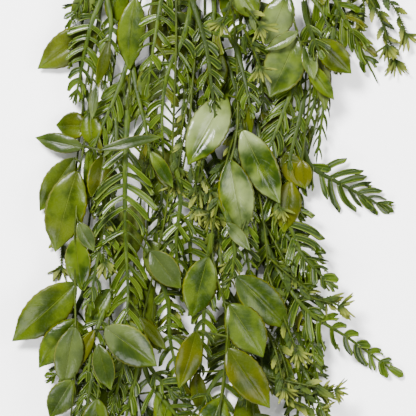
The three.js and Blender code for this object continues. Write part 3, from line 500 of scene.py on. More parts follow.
# Smaller fronds between the drawn ones, which fill the bunch: the same, and the height of their tips
LESSER_FRONDS = {
    "fern_inner": [
        ([(5, 198), (5, 164), (1, 129), (-3, 96)], 21, 0.8, 26),
        ([(3, 155), (16, 130), (24, 104), (28, 78)], 19, 0.8, 20),
        ([(12, -63), (28, -94), (35, -129), (33, -165)], 20, 0.8, 24),
        ([(-2, 68), (7, 42), (12, 14), (10, -16)], 19, 0.8, 26),
        ([(-7, 16), (7, -23), (12, -54), (16, -84)], 17, 0.8, 36),
    ],
    "leaves_behind_right": [
        ([(33, 181), (41, 144), (47, 106), (50, 73)], 21, 0.8, 18),
        ([(41, 80), (47, 50), (47, 21), (42, -7)], 20, 0.8, 20),
    ],
    "back_fern_middle": [
        ([(-3, 207), (-16, 172), (-19, 137), (-16, 101)], 20, 0.85, 24),
        ([(-9, 146), (-17, 120), (-21, 94), (-24, 72)], 18, 0.8, 30),
    ],
    "fern_upper_left": [
        ([(-78, 218), (-96, 200), (-110, 183), (-120, 165)], 20, 0.9, 14),
        ([(-90, 190), (-85, 164), (-87, 137), (-90, 111)], 17, 0.7, 22),
    ],
    "fern_left": [
        ([(-65, 146), (-77, 108), (-90, 77), (-101, 50)], 22, 0.7, 22),
        ([(-67, 129), (-61, 97), (-54, 68), (-50, 35)], 20, 0.8, 22),
    ],
    "fern_right": [
        ([(87, 137), (71, 97), (59, 66), (47, 37)], 25, 0.62, 30),
        ([(85, 108), (80, 78), (73, 50), (68, 23)], 22, 0.6, 22),
    ],
    "sprig_low_right": [
        ([(38, 42), (34, 5), (33, -30), (38, -70)], 23, 0.8, 30),
    ],
    "fern_low_left": [
        ([(-31, 50), (-24, 9), (-28, -31), (-23, -71)], 23, 0.8, 28),
        ([(-57, -97), (-70, -124), (-78, -154), (-85, -181)], 20, 0.7, 30),
        ([(-57, -124), (-63, -145), (-68, -167), (-73, -189)], 19, 0.7, 26),
        ([(-59, -125), (-50, -139), (-42, -150), (-31, -160)], 17, 0.8, 30),
    ],
    "leaves_low_left": [
        ([(-90, 33), (-91, -10), (-97, -47), (-103, -84)], 22, 0.75, 26),
        ([(-87, -70), (-93, -96), (-101, -118), (-104, -143)], 21, 0.8, 30),
        ([(-85, 103), (-80, 68), (-84, 33), (-87, 2)], 20, 0.75, 22),
        ([(-90, -106), (-97, -132), (-104, -163), (-108, -193)], 18, 0.7, 32),
    ],
    "leaves_centre": [
        ([(3, -28), (-3, -70), (-4, -106), (-7, -144)], 20, 0.8, 30),
        ([(14, -141), (3, -154), (-3, -167), (-9, -184)], 18, 0.7, 34),
        ([(24, 146), (28, 127), (33, 107), (37, 85)], 17, 0.7, 40),
        ([(12, 11), (19, -15), (23, -41), (17, -71)], 18, 0.8, 42),
    ],
    "back_leaves_left": [
        ([(-63, -80), (-71, -115), (-78, -146), (-82, -184)], 24, 0.8, 20),
        ([(-50, 85), (-42, 50), (-40, 16), (-45, -21)], 22, 0.85, 16),
    ],
    "back_fern_right": [
        ([(66, -37), (77, -73), (89, -106), (94, -143)], 24, 0.8, 20),
        ([(66, -115), (78, -134), (90, -154), (99, -176)], 20, 0.7, 30),
    ],
    "back_leaves_middle": [
        ([(47, -10), (59, -47), (64, -80), (63, -117)], 22, 0.85, 14),
    ],
    "fern_top_right": [
        ([(80, 198), (99, 174), (108, 151), (113, 127)], 22, 0.8, 18),
        ([(84, 181), (85, 165), (90, 150), (96, 136)], 17, 0.8, 58),
    ],
    "fern_middle": [
        ([(-14, 181), (-2, 141), (3, 106), (7, 70)], 18, 0.8, 30),
    ],
    "fern_edge_right": [
        ([(117, 207), (110, 155), (103, 103), (96, 50)], 22, 0.55, 16),
    ],
    "fern_low_right": [
        ([(47, 7), (66, -21), (85, -44), (104, -64)], 24, 0.9, 26),
    ],
    "back_fern_left": [
        ([(-101, -106), (-113, -125), (-125, -139), (-137, -148)], 15, 0.8, 20),
        ([(-97, -124), (-104, -145), (-110, -167), (-115, -189)], 17, 0.8, 22),
    ],
}
# From one pair of lobes to the next, in the solid, which makes a cell, and here. The first cells are bare.
LOBE_PITCH = 12
FINE_PITCH = 9.8
BARE_CELLS = 2
RACHIS_HALF = 2.7
RACHIS_FLATNESS = 0.3
RACHIS_DARK = (0.0110, 0.0225, 0.0002)
RACHIS_LIGHT = (0.0290, 0.0470, 0.0004)
# How broad and how far apart a spray's lobes are, where not as most, and how far they spread at most
LOBE_BREADTH = {"fern_low_right": 1.35, "fern_top_right": 1.35, "fern_middle": 1.2}
LOBE_REACH = {"fern_top_right": 1.2}
MOST_SPLAY = {"fern_right": 0.8, "fern_top_right": 0.75}
# Where a long frond's outer lobes are shorter on one side (1 is the left as it grows), and by how much
SHORTER_SIDE = {"fern_low_right": 1}
SHORTER_SHARE = 0.62
LONG_FROND = 12
# From dark green (0) to olive (1), where a spray's fronds all look alike
FROND_LOOKS = {"fern_right": 0.02, "fern_low_right": 0.2, "fern_top_right": 0.55, "fern_left": 0.36,
               "fern_middle": 0.5}
lobes, flat_stalks = [], []
chance = np.random.default_rng(11)


def frond_places(stem, path, root=None):
    """A frond's knots from the stem on: their places and headings, and the knot that bears it"""
    root = stem.nearest(path[0]) if root is None else root
    x, y, _ = stem.line[root]
    return walk([(x, y), *path[1:]], LOBE_PITCH), root


def set_lobes(node, places, z, lobe, spread, look):
    """Pairs of lobes along a frond, closer than the solid's, shorter towards its tip"""
    cells = len(places) - 1
    x, y = (np.array([place[k] for place in places]) for k in (0, 1))
    heading = np.unwrap([place[2] for place in places])
    apart = FINE_PITCH / LOBE_PITCH * max(1, LOBE_BREADTH.get(node, 1))
    for s in np.arange(BARE_CELLS + 0.1, cells - 0.15, apart):
        t = (s - BARE_CELLS) / (cells - BARE_CELLS)
        at = [float(np.interp(s, range(cells + 1), row)) for row in (x, y, z, heading)]
        for side in (1, -1):
            splay = min(spread, MOST_SPLAY.get(node, 2)) * (1 - 0.45 * t) + chance.normal(0, 0.1)
            grown = min(1, 0.6 + 1.6 * t) * (1 - 0.62 * t ** 1.6)
            if SHORTER_SIDE.get(node) == side and cells > LONG_FROND and t > 0.45:
                grown *= SHORTER_SHARE
            out = lobe * LOBE_REACH.get(node, 1) * chance.uniform(0.85, 1.2) * grown + 1.5
            lobes.append(dict(node=node, start=at[:3], aim=at[3] + side * splay, side=side, out=out,
                              lift=out * chance.uniform(-0.3, 0.12), t=t, look=look))
    lobes.append(dict(node=node, start=(x[-1], y[-1], z[-1]), aim=heading[-1], side=0,
                      out=0.5 * lobe, lift=-1, t=1, look=look))
    radii = [RACHIS_HALF * (1 - 0.66 * k / cells) for k in range(cells + 1)]
    flat_stalks.append((node, [(a, b, c) for a, b, c in zip(x, y, z)], radii, look))


def grow_frond(stem, path, lobe, spread=1.08, root=None):
    """A frond of the solid: it passes over the numbers that its lobes take there, and keeps its heights"""
    places, root = frond_places(stem, path, root)
    for _ in range(6 * (len(places) - 1 - BARE_CELLS)):
        random()
    set_lobes(stem.name, places, stem.along(places, first=stem.z[root]), lobe, spread,
              FROND_LOOKS.get(stem.name, chance.uniform(0.2, 0.62)))


def arched(start, end, count):
    """Heights of a lesser frond or twig, from its stem's to its own, a little arched"""
    share = np.linspace(0, 1, count)
    return start + (end - start) * share ** 0.8 + 2.5 * np.sin(3.1 * share)


def add_frond(stem, path, lobe, spread, end):
    """A lesser frond, which runs from its stem's height to its own"""
    places, root = frond_places(stem, path)
    z = arched(stem.z[root], end, len(places))
    set_lobes(stem.name, places, z, lobe, spread, chance.uniform(0, 0.5))


for stem in stems.values():
    stem.reseed()
    for path, lobe, spread in FRONDS.get(stem.name, []):
        grow_frond(stem, path, lobe, spread)
    if stem.name in HANGING_FRONDS:
        given = dict(HANGING_FRONDS[stem.name])
        lobe = given.pop("lobe")
        for k, side, aim, far in stem.hanging(**given):
            x, y, _ = stem.line[k]
            turns = [(t, aim - side * 0.45 * t) for t in (0, 0.33, 0.66, 1)]
            path = [(x + far * t * math.cos(turn), y + far * t * math.sin(turn)) for t, turn in turns]
            grow_frond(stem, path, lobe, root=k)
    for path, lobe, spread, end in LESSER_FRONDS.get(stem.name, []):
        add_frond(stem, path, lobe, spread, end)


def blade_parts(tree):
    """What a blade's points carry: how far across (0 to 1) and along (0 to 1), underside, and tint"""
    form = attribute(tree, "form", "Vector")
    across, along, under = add(tree, "SeparateXYZ", Vector=form).outputs
    tint = attribute(tree, "tint")
    return calc(tree, "ABSOLUTE", across), along, under, tint


fern_satin, tree, shader = new_material("fern_satin", 0.4, 0.2)
edge, along, under, tint = blade_parts(tree)
patches = noise(tree, 55, 2)
grain = noise(tree, 500, 3)
rim = calc(tree, "MULTIPLY", step(tree, edge, 0.45, 0.75), step(tree, edge, 1.0, 0.85))
rib = calc(tree, "MULTIPLY", step(tree, edge, 0.16, 0.04), step(tree, along, 0.85, 0.6))
shade = step(tree, patches, 0.36, 0.64)
green = blend_colours(tree, shade, (0.0092, 0.0218, 0.0002), (0.0286, 0.0504, 0.0006))
colour = blend_colours(tree, step(tree, tint, 0.6, 0.95, 0, 0.9), green, (0.0420, 0.0412, 0.0002))
colour = blend_colours(tree, step(tree, tint, 0.3, 0, 0, 0.8), colour, (0.0042, 0.0109, 0.0006))
# Pale rims: partly the lobes' own paler margin, partly a painted highlight along their raised edges
colour = blend_colours(tree, calc(tree, "MULTIPLY", rim, 0.52), colour, (0.0980, 0.1350, 0.0160))
colour = blend_colours(tree, calc(tree, "MULTIPLY", rib, 0.35), colour, (0.0605, 0.0857, 0.0072))
colour = blend_colours(tree, step(tree, along, 0.75, 1, 0, 0.3), colour, (0.0487, 0.0739, 0.0012))
colour = blend_colours(tree, calc(tree, "MULTIPLY", under, 0.7), colour, (0.0403, 0.0420, 0.0003))
tree.links.new(colour, shader.inputs["Base Color"])
tree.links.new(step(tree, grain, 0.3, 0.7, 0.14, 0.28), shader.inputs["Roughness"])
ridges = calc(tree, "ADD", rim, calc(tree, "MULTIPLY", rib, 0.5))
bumped(tree, shader, calc(tree, "ADD", ridges, calc(tree, "MULTIPLY", grain, 0.12)), 0.0005)
rachis_skin = stalk_material("rachis_skin", RACHIS_DARK, RACHIS_LIGHT)


def blade(middle, half):
    """Faces of a thin closed blade round rows of points (rows, columns, 3), half as thick as half.
    Its sides and its last row run out to nothing. Gives points, faces and each point's form."""
    rows, columns = middle.shape[:2]
    count = rows * columns
    upper = np.arange(count).reshape(rows, columns)
    lower = upper.copy()
    lower[:-1, 1:-1] = count + np.arange((rows - 1) * (columns - 2)).reshape(rows - 1, columns - 2)
    lift = np.zeros((rows, columns, 3))
    lift[:-1, 1:-1, 2] = half[:-1, 1:-1]
    points = np.concatenate([(middle + lift).reshape(-1, 3), (middle - lift)[:-1, 1:-1].reshape(-1, 3)])
    across = np.tile(np.linspace(-1, 1, columns), (rows, 1))
    along = np.repeat(np.linspace(0, 1, rows)[:, None], columns, axis=1)
    form = np.stack([across, along, np.zeros_like(along)], axis=2)
    below = form[:-1, 1:-1].copy()
    below[:, :, 2] = 1
    form = np.concatenate([form.reshape(-1, 3), below.reshape(-1, 3)])
    # A pointed tip has its whole last row in one place
    if np.ptp(middle[-1], axis=0).max() < 1e-9:
        upper[-1] = lower[-1] = upper[-1, 0]
    faces = []
    for j in range(rows - 1):
        for i in range(columns - 1):
            faces.append([upper[j, i], upper[j, i + 1], upper[j + 1, i + 1], upper[j + 1, i]])
            faces.append([lower[j + 1, i], lower[j + 1, i + 1], lower[j, i + 1], lower[j, i]])
    faces += [[lower[0, i], lower[0, i + 1], upper[0, i + 1], upper[0, i]] for i in range(columns - 1)]
    faces = [list(dict.fromkeys(int(k) for k in face)) for face in faces]
    return points, [face for face in faces if len(face) > 2], form


def mesh_of(name, blades, looks):
    """One mesh of many blades, in metres, with each blade's tint and its share of painted sheen and gloss
    on its points
    """
    points, faces, forms, numbers = [], [], [], []
    first = 0
    for (own_points, own_faces, own_form), look in zip(blades, looks):
        points.append(own_points)
        forms.append(own_form)
        numbers.append(np.tile(look, (len(own_points), 1)))
        faces += [[first + k for k in face] for face in own_faces]
        first += len(own_points)
    points, forms, numbers = np.concatenate(points), np.concatenate(forms), np.concatenate(numbers)
    used = np.unique([k for face in faces for k in face])
    place = np.zeros(len(points), int)
    place[used] = np.arange(len(used))
    mesh = bpy.data.meshes.new(name)
    mesh.from_pydata(points[used].tolist(), [], [[int(place[k]) for k in face] for face in faces])
    mesh.attributes.new("form", "FLOAT_VECTOR", "POINT").data.foreach_set("vector", forms[used].ravel())
    for k, key in enumerate(("tint", "bloom")):
        mesh.attributes.new(key, "FLOAT", "POINT").data.foreach_set("value", numbers[used][:, k])
    mesh.polygons.foreach_set("use_smooth", [True] * len(mesh.polygons))
    mesh.update()
    return mesh


def channel(side):
    """A blade's height, with a channel down its middle"""
    return 0.16 * side * side - 0.05


def pattern(name, rows, columns, outline, half, ends=None, profile=channel):
    """A blade of length and width 1 along +X: outline(t) is its width and profile(side) its height.
    ends are the tip's lengths from one side to the other, where it isn't a point."""
    middle = np.zeros((rows, columns, 3))
    thick = np.zeros((rows, columns))
    for j in range(rows):
        t = j / (rows - 1)
        for i in range(columns):
            side = 1 - 2 * i / (columns - 1)
            reach = 1 + ((ends[i] - 1) * t ** 3 if ends else 0)
            middle[j, i] = (t * reach, side * outline(t) / 2, profile(side))
            thick[j, i] = half * (1 - 0.6 * abs(side))
    if not ends:
        middle[-1, :] = middle[-1, columns // 2]
    shape = bpy.data.objects.new(name, mesh_of(name, [blade(middle, thick)], [(0, 0)]))
    shape.data.attributes.remove(shape.data.attributes["tint"])
    bpy.context.collection.objects.link(shape)
    return shape


def strewing_tree():
    """Puts a blade on each point, turns and stretches it, and bends it along its own length"""
    tree, make, given = new_tree("blades_on_points", (
        ("Points", "Geometry"), ("Blade", "Object"), ("Finish", "Material")))
    shape = make("GeometryNodeObjectInfo", Object=given["Blade"])
    turn = make("FunctionNodeEulerToRotation", n0=stored(make, "turn", "FLOAT_VECTOR"))
    strewn_blades = make("GeometryNodeInstanceOnPoints", Points=given["Points"],
                         Instance=shape.outputs["Geometry"], Rotation=turn.outputs[0],
                         Scale=stored(make, "stretch", "FLOAT_VECTOR"))
    whole = make("GeometryNodeRealizeInstances", n0=strewn_blades.outputs[0])
    # Its bow, times the square of how far along the blade a point is
    parts = make("ShaderNodeSeparateXYZ", n0=stored(make, "form", "FLOAT_VECTOR"))
    square = make("ShaderNodeMath", {"operation": "MULTIPLY"}, n0=parts.outputs[1], n1=parts.outputs[1])
    bow = stored(make, "bow", "FLOAT_VECTOR")
    offset = make("ShaderNodeVectorMath", {"operation": "SCALE"}, n0=bow, Scale=square.outputs[0])
    bent = make("GeometryNodeSetPosition", Geometry=whole.outputs[0], Offset=offset.outputs[0])
    finished = make("GeometryNodeSetMaterial", Geometry=bent.outputs[0], Material=given["Finish"])
    make("NodeGroupOutput", n0=finished.outputs[0])
    return tree


def lay(item, width, roll, bow_side, bow_up, tint):
    """The place, turn, stretch and bow of a blade, from its start, aim, length and lift, in metres"""
    x, y, z = item["start"]
    out, lift, aim = item["out"], item["lift"], item["aim"]
    first = aim + item["side"] * bow_side
    ahead = Vector((math.cos(first) * out, math.sin(first) * out, lift - bow_up)).normalized()
    left = Vector((-math.sin(first), math.cos(first), 0))
    upward = ahead.cross(left)
    left = left * math.cos(roll) + upward * math.sin(roll)
    upward = ahead.cross(left)
    turn = Matrix((ahead, left, upward)).transposed().to_euler("XYZ")
    length = math.hypot(out, lift - bow_up)
    tip = Vector((math.cos(aim) * out, math.sin(aim) * out, lift))
    bow = tip - ahead * length
    return dict(place=((x + SHIFT[0]) / 1000, (y + SHIFT[1]) / 1000, z / 1000), turn=tuple(turn),
                stretch=(length / 1000, width / 1000, width / 1000), bow=tuple(bow / 1000), tint=tint)


def strewn(name, laid, shape, material):
    """A mesh of blades of one shape, laid as they say"""
    mesh = bpy.data.meshes.new(name + "_points")
    mesh.from_pydata([item["place"] for item in laid], [], [])
    for key in ("turn", "stretch", "bow"):
        values = np.array([item[key] for item in laid], float).ravel()
        mesh.attributes.new(key, "FLOAT_VECTOR", "POINT").data.foreach_set("vector", values)
    mesh.attributes.new("tint", "FLOAT", "POINT").data.foreach_set("value", [item["tint"] for item in laid])
    return run_tree(name, mesh, strewing, Blade=shape, Finish=material)


def strap(t):
    """Its width: from a slightly narrowed foot to its broadest at two thirds, then rounded off"""
    swelling = 0.72 + 0.34 * math.sin(math.pi * min(t, 0.7) / 1.4)
    return swelling * (1 - 0.5 * max(0, (t - 0.78) / 0.22) ** 2.2)


def axe(t):
    """Its width: broadest near its end"""
    return 0.66 + 0.5 * t ** 2 - 0.3 * max(0, (t - 0.85) / 0.15) ** 2


def needle(t):
    """Its width: narrow, and narrower to its point"""
    return 0.9 * (1 - t) ** 0.55 * (0.7 + 0.5 * t)


strewing = strewing_tree()
# The shares of a spray's lobes that are notched or narrow, where not as most
NOTCHED = {"fern_top_right": 0.8, "fern_upper_left": 0.6, "fern_middle": 0.5, "fern_right": 0.1}
SLIM = {"fern_right": 0, "fern_low_right": 0}
MOST_NOTCHED = 0.35
MOST_SLIM = 0.15
SLIM_BREADTH = 0.62
# Tips, from one side to the other
ROUNDED = (0.86, 0.95, 0.99, 1, 0.99, 0.95, 0.86)
FORKED = (0.84, 1, 0.98, 0.66, 0.9, 0.95, 0.78)
LOBE_SHAPES = {
    "lobes": pattern("lobe_rounded", 12, 7, strap, 0.05, ROUNDED),
    "notched_lobes": pattern("lobe_notched", 12, 7, axe, 0.05, FORKED),
    "narrow_lobes": pattern("lobe_narrow", 12, 5, needle, 0.07),
}
for stem in stems.values():
    laid = {kind: [] for kind in LOBE_SHAPES}
    for lobe in (item for item in lobes if item["node"] == stem.name):
        slim = stem.name == "fern_edge_right" or chance.random() < SLIM.get(stem.name, MOST_SLIM)
        notched = chance.random() < NOTCHED.get(stem.name, MOST_NOTCHED)
        kind = "narrow_lobes" if slim else "notched_lobes" if notched else "lobes"
        breadth = SLIM_BREADTH if slim else LOBE_BREADTH.get(stem.name, 1)
        width = breadth * (5.3 + 1.6 * (1 - lobe["t"])) * chance.uniform(0.8, 1.15)
        lobe["aim"] += chance.normal(0, 0.06)
        tint = float(np.clip(lobe["look"] + chance.normal(0, 0.2), 0, 1))
        laid[kind].append(lay(lobe, width, chance.normal(0, 0.4), 0.32 * chance.uniform(0.1, 1.5),
                              lobe["out"] * chance.uniform(-0.08, 0.24), tint))
    for kind, own in laid.items():
        if own:
            name = stem.name + "_" + kind
            piece(name, strewn(name, own, LOBE_SHAPES[kind], fern_satin), stem.name, "fern")
    flat = [(points, radii, look) for node, points, radii, look in flat_stalks if node == stem.name]
    if flat:
        name = stem.name + "_rachis"
        piece(name, swept(name, flat, rachis_skin, 10, RACHIS_FLATNESS), stem.name, "fern")
for shape in LOBE_SHAPES.values():
    bpy.data.objects.remove(shape)

# ---- Oval leaves: waxy moulded plastic with a crease, on short petioles along their own stems ----
# Each curls a little and sags from its base; the crease is pale, the rim yellow, and dark and olive
# patches run through the green; some carry a painted pale sheen. Each is its base, its tip and its width,
# in millimetres.
LEAVES = {
    "leaves_behind_left": [
        ((-33, 172), (-7, 139), 26), ((-39, 127), (-59, 90), 26), ((-47, 50), (-21, 10), 24),
        ((-53, -28), (-28, -73), 27), ((-60, -96), (-42, -125), 18), ((-62, -124), (-84, -171), 26),
        ((-63, -184), (-37, -228), 28), ((-61, -193), (-70, -242), 26),
    ],
    "leaves_behind_right": [
        ((21, 130), (-2, 94), 28), ((49, 84), (80, 52), 24), ((61, 24), (70, -22), 26),
        ((50, -47), (80, -71), 24), ((39, -119), (77, -160), 28), ((40, -180), (70, -221), 28),
        ((42, -202), (44, -254), 26), ((37, 181), (64, 151), 24), ((47, -63), (24, -99), 26),
    ],
    "leaves_left": [
        ((-84, 216), (-127, 191), 26), ((-96, 157), (-150, 122), 30), ((-104, 72), (-134, 73), 24),
        ((-109, 53), (-152, 62), 17), ((-103, 84), (-101, 53), 20), ((-117, 44), (-148, -3), 24),
        ((-114, 33), (-134, -39), 36), ((-115, -25), (-110, -73), 23), ((-113, -12), (-99, -38), 14),
        ((-115, -65), (-172, -117), 35), ((-114, -97), (-148, -140), 26),
        ((-116, -103), (-126, -157), 26), ((-118, -150), (-139, -184), 24),
        ((-122, -193), (-150, -235), 28), ((-124, -211), (-101, -251), 26),
        ((-127, -245), (-134, -291), 24),
    ],
    "leaves_low_left": [
        ((-75, 207), (-84, 158), 22), ((-91, 46), (-97, 2), 22), ((-84, -99), (-52, -137), 34),
        ((-90, -124), (-79, -158), 22), ((-96, -165), (-101, -207), 24),
        ((-97, -198), (-71, -242), 28), ((-97, -211), (-103, -264), 25),
        ((-85, -71), (-106, -106), 22),
    ],
    "leaves_upper_left": [
        ((-50, 218), (-78, 242), 24), ((-63, 184), (-69, 120), 25), ((-44, 226), (-28, 186), 26),
    ],
    "leaves_centre": [
        ((17, 223), (-14, 193), 28), ((21, 198), (44, 165), 26), ((16, 99), (-18, 37), 34),
        ((30, 68), (63, 3), 30), ((19, 42), (31, -24), 31), ((0, -42), (-14, -96), 30),
        ((24, -59), (71, -106), 31), ((18, -83), (48, -130), 34), ((-10, -106), (-26, -157), 22),
        ((17, -121), (54, -174), 30), ((12, -164), (-9, -211), 28), ((9, -193), (35, -242), 30),
        ((6, -231), (-5, -285), 27),
    ],
    "leaves_right": [
        ((63, 221), (99, 195), 26), ((70, 186), (50, 142), 28), ((77, 148), (53, 96), 36),
        ((96, 146), (125, 117), 24), ((87, 125), (110, 94), 15), ((82, 42), (85, 16), 16),
        ((84, 141), (92, 111), 14),
    ],
}
HANGING_LEAVES = {
    "back_leaves_left": dict(every=60, length=66, width=29),
    "back_leaves_middle": dict(every=75, length=66, width=29),
}
# How each drawn leaf looks, in order: from dark grey (0) through green to olive (1), and its share of
# painted pale sheen, which also makes it glossier
LOOKS = {
    "leaves_centre": [(0.5, 0), (0.4, 0.3), (0.42, 1), (0.45, 1), (0.5, 0.95), (0.34, 0.15), (0.22, 0.1),
                      (0.25, 0.1), (0.8, 0), (0.8, 0.05), (0.4, 0.2), (0.5, 0), (0.6, 0)],
    "leaves_right": [(0.5, 0.3), (0.3, 0.6), (0.4, 0.65), (0.66, 0), (0.4, 0), (0.9, 0), (0.3, 0.7)],
    "leaves_left": [(0.5, 0.2), (0.72, 0.05), (0.7, 0), (0.1, 0.1), (0.6, 0), (0.65, 0.1), (0.66, 0.1),
                    (0.35, 0.6), (0.1, 0.4), (0.66, 0.15), (0.55, 0.2), (0.12, 0.2), (0.3, 0.2), (0.5, 0),
                    (0.3, 0.1), (0.6, 0)],
    "leaves_low_left": [(0.45, 0), (0.9, 0), (0.22, 0.15), (0.1, 0.2), (0.2, 0.1), (0.5, 0), (0.6, 0),
                        (0.3, 0)],
    "leaves_upper_left": [(0.4, 0.3), (0.55, 0.1), (0.45, 0.3)],
}
# Lesser leaves between them: the same, the height of their middle, and their look
LESSER_LEAVES = {
    "leaves_left": [
        ((-86, 146), (-97, 106), 10, 30, (0.85, 0)),
        ((-97, 108), (-101, 77), 8, 34, (0.05, 0.5)),
        ((-93, 50), (-37, 62), 10, 60, (0.05, 0.1)),
        ((-104, 52), (-105, 4), 10, 20, (0.3, 0)),
        ((-99, 193), (-120, 164), 19, 14, (0.6, 0.3)),
    ],
    "leaves_behind_left": [
        ((-50, 49), (-30, 17), 12, 50, (0.35, 0.1)),
        ((-50, -37), (-23, -70), 24, 44, (0.0, 0.1)),
        ((-58, -96), (-36, -124), 11, 42, (0.9, 0)),
        ((-44, -160), (-35, -195), 16, 26, (0.5, 0)),
    ],
    "leaves_behind_right": [
        ((47, 84), (80, 40), 24, 18, (0.9, 0)),
        ((66, 50), (85, 17), 21, 20, (0.95, 0)),
        ((72, 24), (66, -22), 26, 22, (0.8, 0)),
        ((24, 96), (38, 63), 19, 14, (0.7, 0)),
    ],
    "leaves_right": [
        ((99, 144), (103, 83), 14, 26, (0.8, 0.5)),
        ((78, 153), (49, 137), 12, 46, (0.3, 0.5)),
    ],
    "leaves_low_left": [
        ((-99, -106), (-122, -147), 13, 30, (0.8, 0)),
        ((-89, -103), (-44, -137), 32, 56, (0.16, 0.35)),
        ((-95, -118), (-84, -158), 19, 52, (0.08, 0.1)),
    ],
    "leaves_centre": [
        ((16, -12), (37, -37), 12, 50, (0.1, 0.6)),
        ((9, 137), (5, 97), 19, 26, (0.75, 0)),
        ((-10, -143), (-6, -180), 14, 30, (0.85, 0)),
    ],
}


def oval(t):
    """How wide a leaf is, t of the way along it, as a share of its width"""
    return (t / 0.46) ** 0.78 * ((1 - t) / 0.54) ** 0.92 if 0 < t < 1 else 0


def leaf_point(leaf, t, side):
    """A point of the solid's blade: its place, and its height over the base without the rise"""
    turn = leaf["heading"] + leaf["curve"] * (t - 1) / 2
    facing = leaf["heading"] + leaf["curve"] * (t - 0.5)
    out = side * leaf["width"] / 2 * oval(t)
    x = leaf["base"][0] + leaf["length"] * t * math.cos(turn) - out * math.sin(facing)
    y = leaf["base"][1] + leaf["length"] * t * math.sin(turn) + out * math.cos(facing)
    return x, y, leaf["fold"] * abs(out) + leaf["lean"] * out - leaf["sag"] * leaf["length"] * t * t


def drawn_leaf(base, tip, width, draw, fold, sag):
    """A leaf's line and form: how it leans, curves, folds and sags, as drawn from their ranges"""
    leaf = dict(base=base, length=math.dist(base, tip), width=width,
                heading=math.atan2(tip[1] - base[1], tip[0] - base[0]))
    for key, span in (("lean", (-0.2, 0.2)), ("curve", (-0.16, 0.16)), ("fold", fold), ("sag", sag)):
        leaf[key] = draw(*span)
    return leaf


def grow_leaf(stem, base, tip, width):
    """A leaf as the solid draws it, with the level and rise that fit the solid's points best"""
    leaf = drawn_leaf(base, tip, width, between, (0.08, 0.2), (0.1, 0.22))
    known = []
    for t in (0, 0.2, 0.46, 0.76, 1):
        for side in ((0,) if t in (0, 1) else (-1, 0, 1)):
            x, y, lift = leaf_point(leaf, t, side)
            z = stem.at(x, y)
            if z is not None:
                known.append((1, leaf["length"] * t, z - lift))
    known = np.array(known)
    leaf["level"], leaf["rise"] = np.linalg.lstsq(known[:, :2], known[:, 2], rcond=None)[0]
    return with_petiole(stem, leaf)


def add_leaf(stem, base, tip, width, height):
    """A lesser leaf, which starts at its own height"""
    leaf = drawn_leaf(base, tip, width, chance.uniform, (0.1, 0.3), (0.05, 0.2))
    leaf["level"], leaf["rise"] = height, 0.08
    return with_petiole(stem, leaf)


def with_petiole(stem, leaf):
    """The leaf, and its petiole from the nearest knot of its stem"""
    root = stem.nearest(leaf["base"])
    x, y, _ = stem.line[root]
    start, end = Vector((x, y, stem.z[root])), Vector((*leaf["base"], leaf["level"]))
    leaf["petiole"] = [tuple(start), tuple((start + end) / 2), tuple(end)], [1.0, 0.85, 0.75]
    return leaf


def leaf_blade(leaf):
    """A finer blade on the solid's: crowned between crease and rim, and a little wavy at its edge"""
    rows, columns = 37, 15
    middle = np.zeros((rows, columns, 3))
    half = np.zeros((rows, columns))
    wave, beat = chance.uniform(0.0, 0.04), chance.uniform(1.2, 2.4)
    phase = chance.uniform(0, 6.3, 2)
    crown = chance.uniform(0.08, 0.18)
    curl = chance.normal(0, 0.05)
    for j in range(rows):
        t = min(max(j / (rows - 1), 0.012), 0.999)
        wide = leaf["width"] / 2 * oval(t)
        narrowed = (1 - 0.35 * max(0, (t - 0.78) / 0.22)) * (1 + 0.02 * math.sin(62 * t + phase[0]))
        for i in range(columns):
            side = 1 - 2 * i / (columns - 1)
            part = abs(side)
            x, y, lift = leaf_point(leaf, t, side * narrowed)
            lift += crown * wide * (4 * part * (1 - part)) ** 0.8 * (1 - 0.4 * part)
            swing = math.sin(beat * 6.3 * t + phase[int(side > 0)]) * min(1, 4 * t)
            lift += wave * leaf["width"] * part ** 2 * swing
            lift += curl * leaf["width"] * side * math.sin(3.1 * t)
            z = leaf["level"] + leaf["rise"] * leaf["length"] * t + lift
            middle[j, i] = (x + SHIFT[0], y + SHIFT[1], z)
            half[j, i] = 0.28 * (1 - 0.5 * part)
    middle[-1, :] = middle[-1, columns // 2]
    return blade(middle / 1000, half / 1000)


leaf_wax, tree, shader = new_material("leaf_wax", 0.3, 0.15)
edge, along, under, tint = blade_parts(tree)
# Each leaf's share of painted sheen, a painted highlight, which also makes the leaf glossier
bloom = attribute(tree, "bloom")
rib_width = step(tree, along, 0, 1, 0.05, 0.012)
rib = step(tree, calc(tree, "DIVIDE", edge, rib_width), 1.3, 0.4)
slant = calc(tree, "SUBTRACT", calc(tree, "MULTIPLY", along, 9), calc(tree, "MULTIPLY", edge, 2.6))
slant = calc(tree, "ADD", slant, calc(tree, "MULTIPLY", noise(tree, 45, 1), 3.0))
vein = calc(tree, "ABSOLUTE", calc(tree, "SUBTRACT", calc(tree, "FRACT", slant), 0.5))
vein = calc(tree, "MULTIPLY", step(tree, vein, 0.16, 0.02), step(tree, edge, 0.9, 0.5))
patches = noise(tree, 52, 3)
broad = noise(tree, 30, 2)
grain = noise(tree, 520, 4)
shade = step(tree, patches, 0.38, 0.6)
green = blend_colours(tree, shade, (0.0072, 0.0172, 0.0002), (0.0355, 0.0555, 0.0005))
shade = step(tree, broad, 0.46, 0.6)
olive = blend_colours(tree, shade, (0.0165, 0.0225, 0.0001), (0.0370, 0.0390, 0.0001))
colour = blend_colours(tree, step(tree, tint, 0.5, 0.9, 0, 0.95), green, olive)
colour = blend_colours(tree, step(tree, tint, 0.4, 0.0, 0, 0.85), colour, (0.0101, 0.0181, 0.0027))
colour = blend_colours(tree, calc(tree, "MULTIPLY", vein, 0.07), colour, (0.0504, 0.0756, 0.0036))
colour = blend_colours(tree, calc(tree, "MULTIPLY", rib, 0.35), colour, (0.0714, 0.0966, 0.0096))
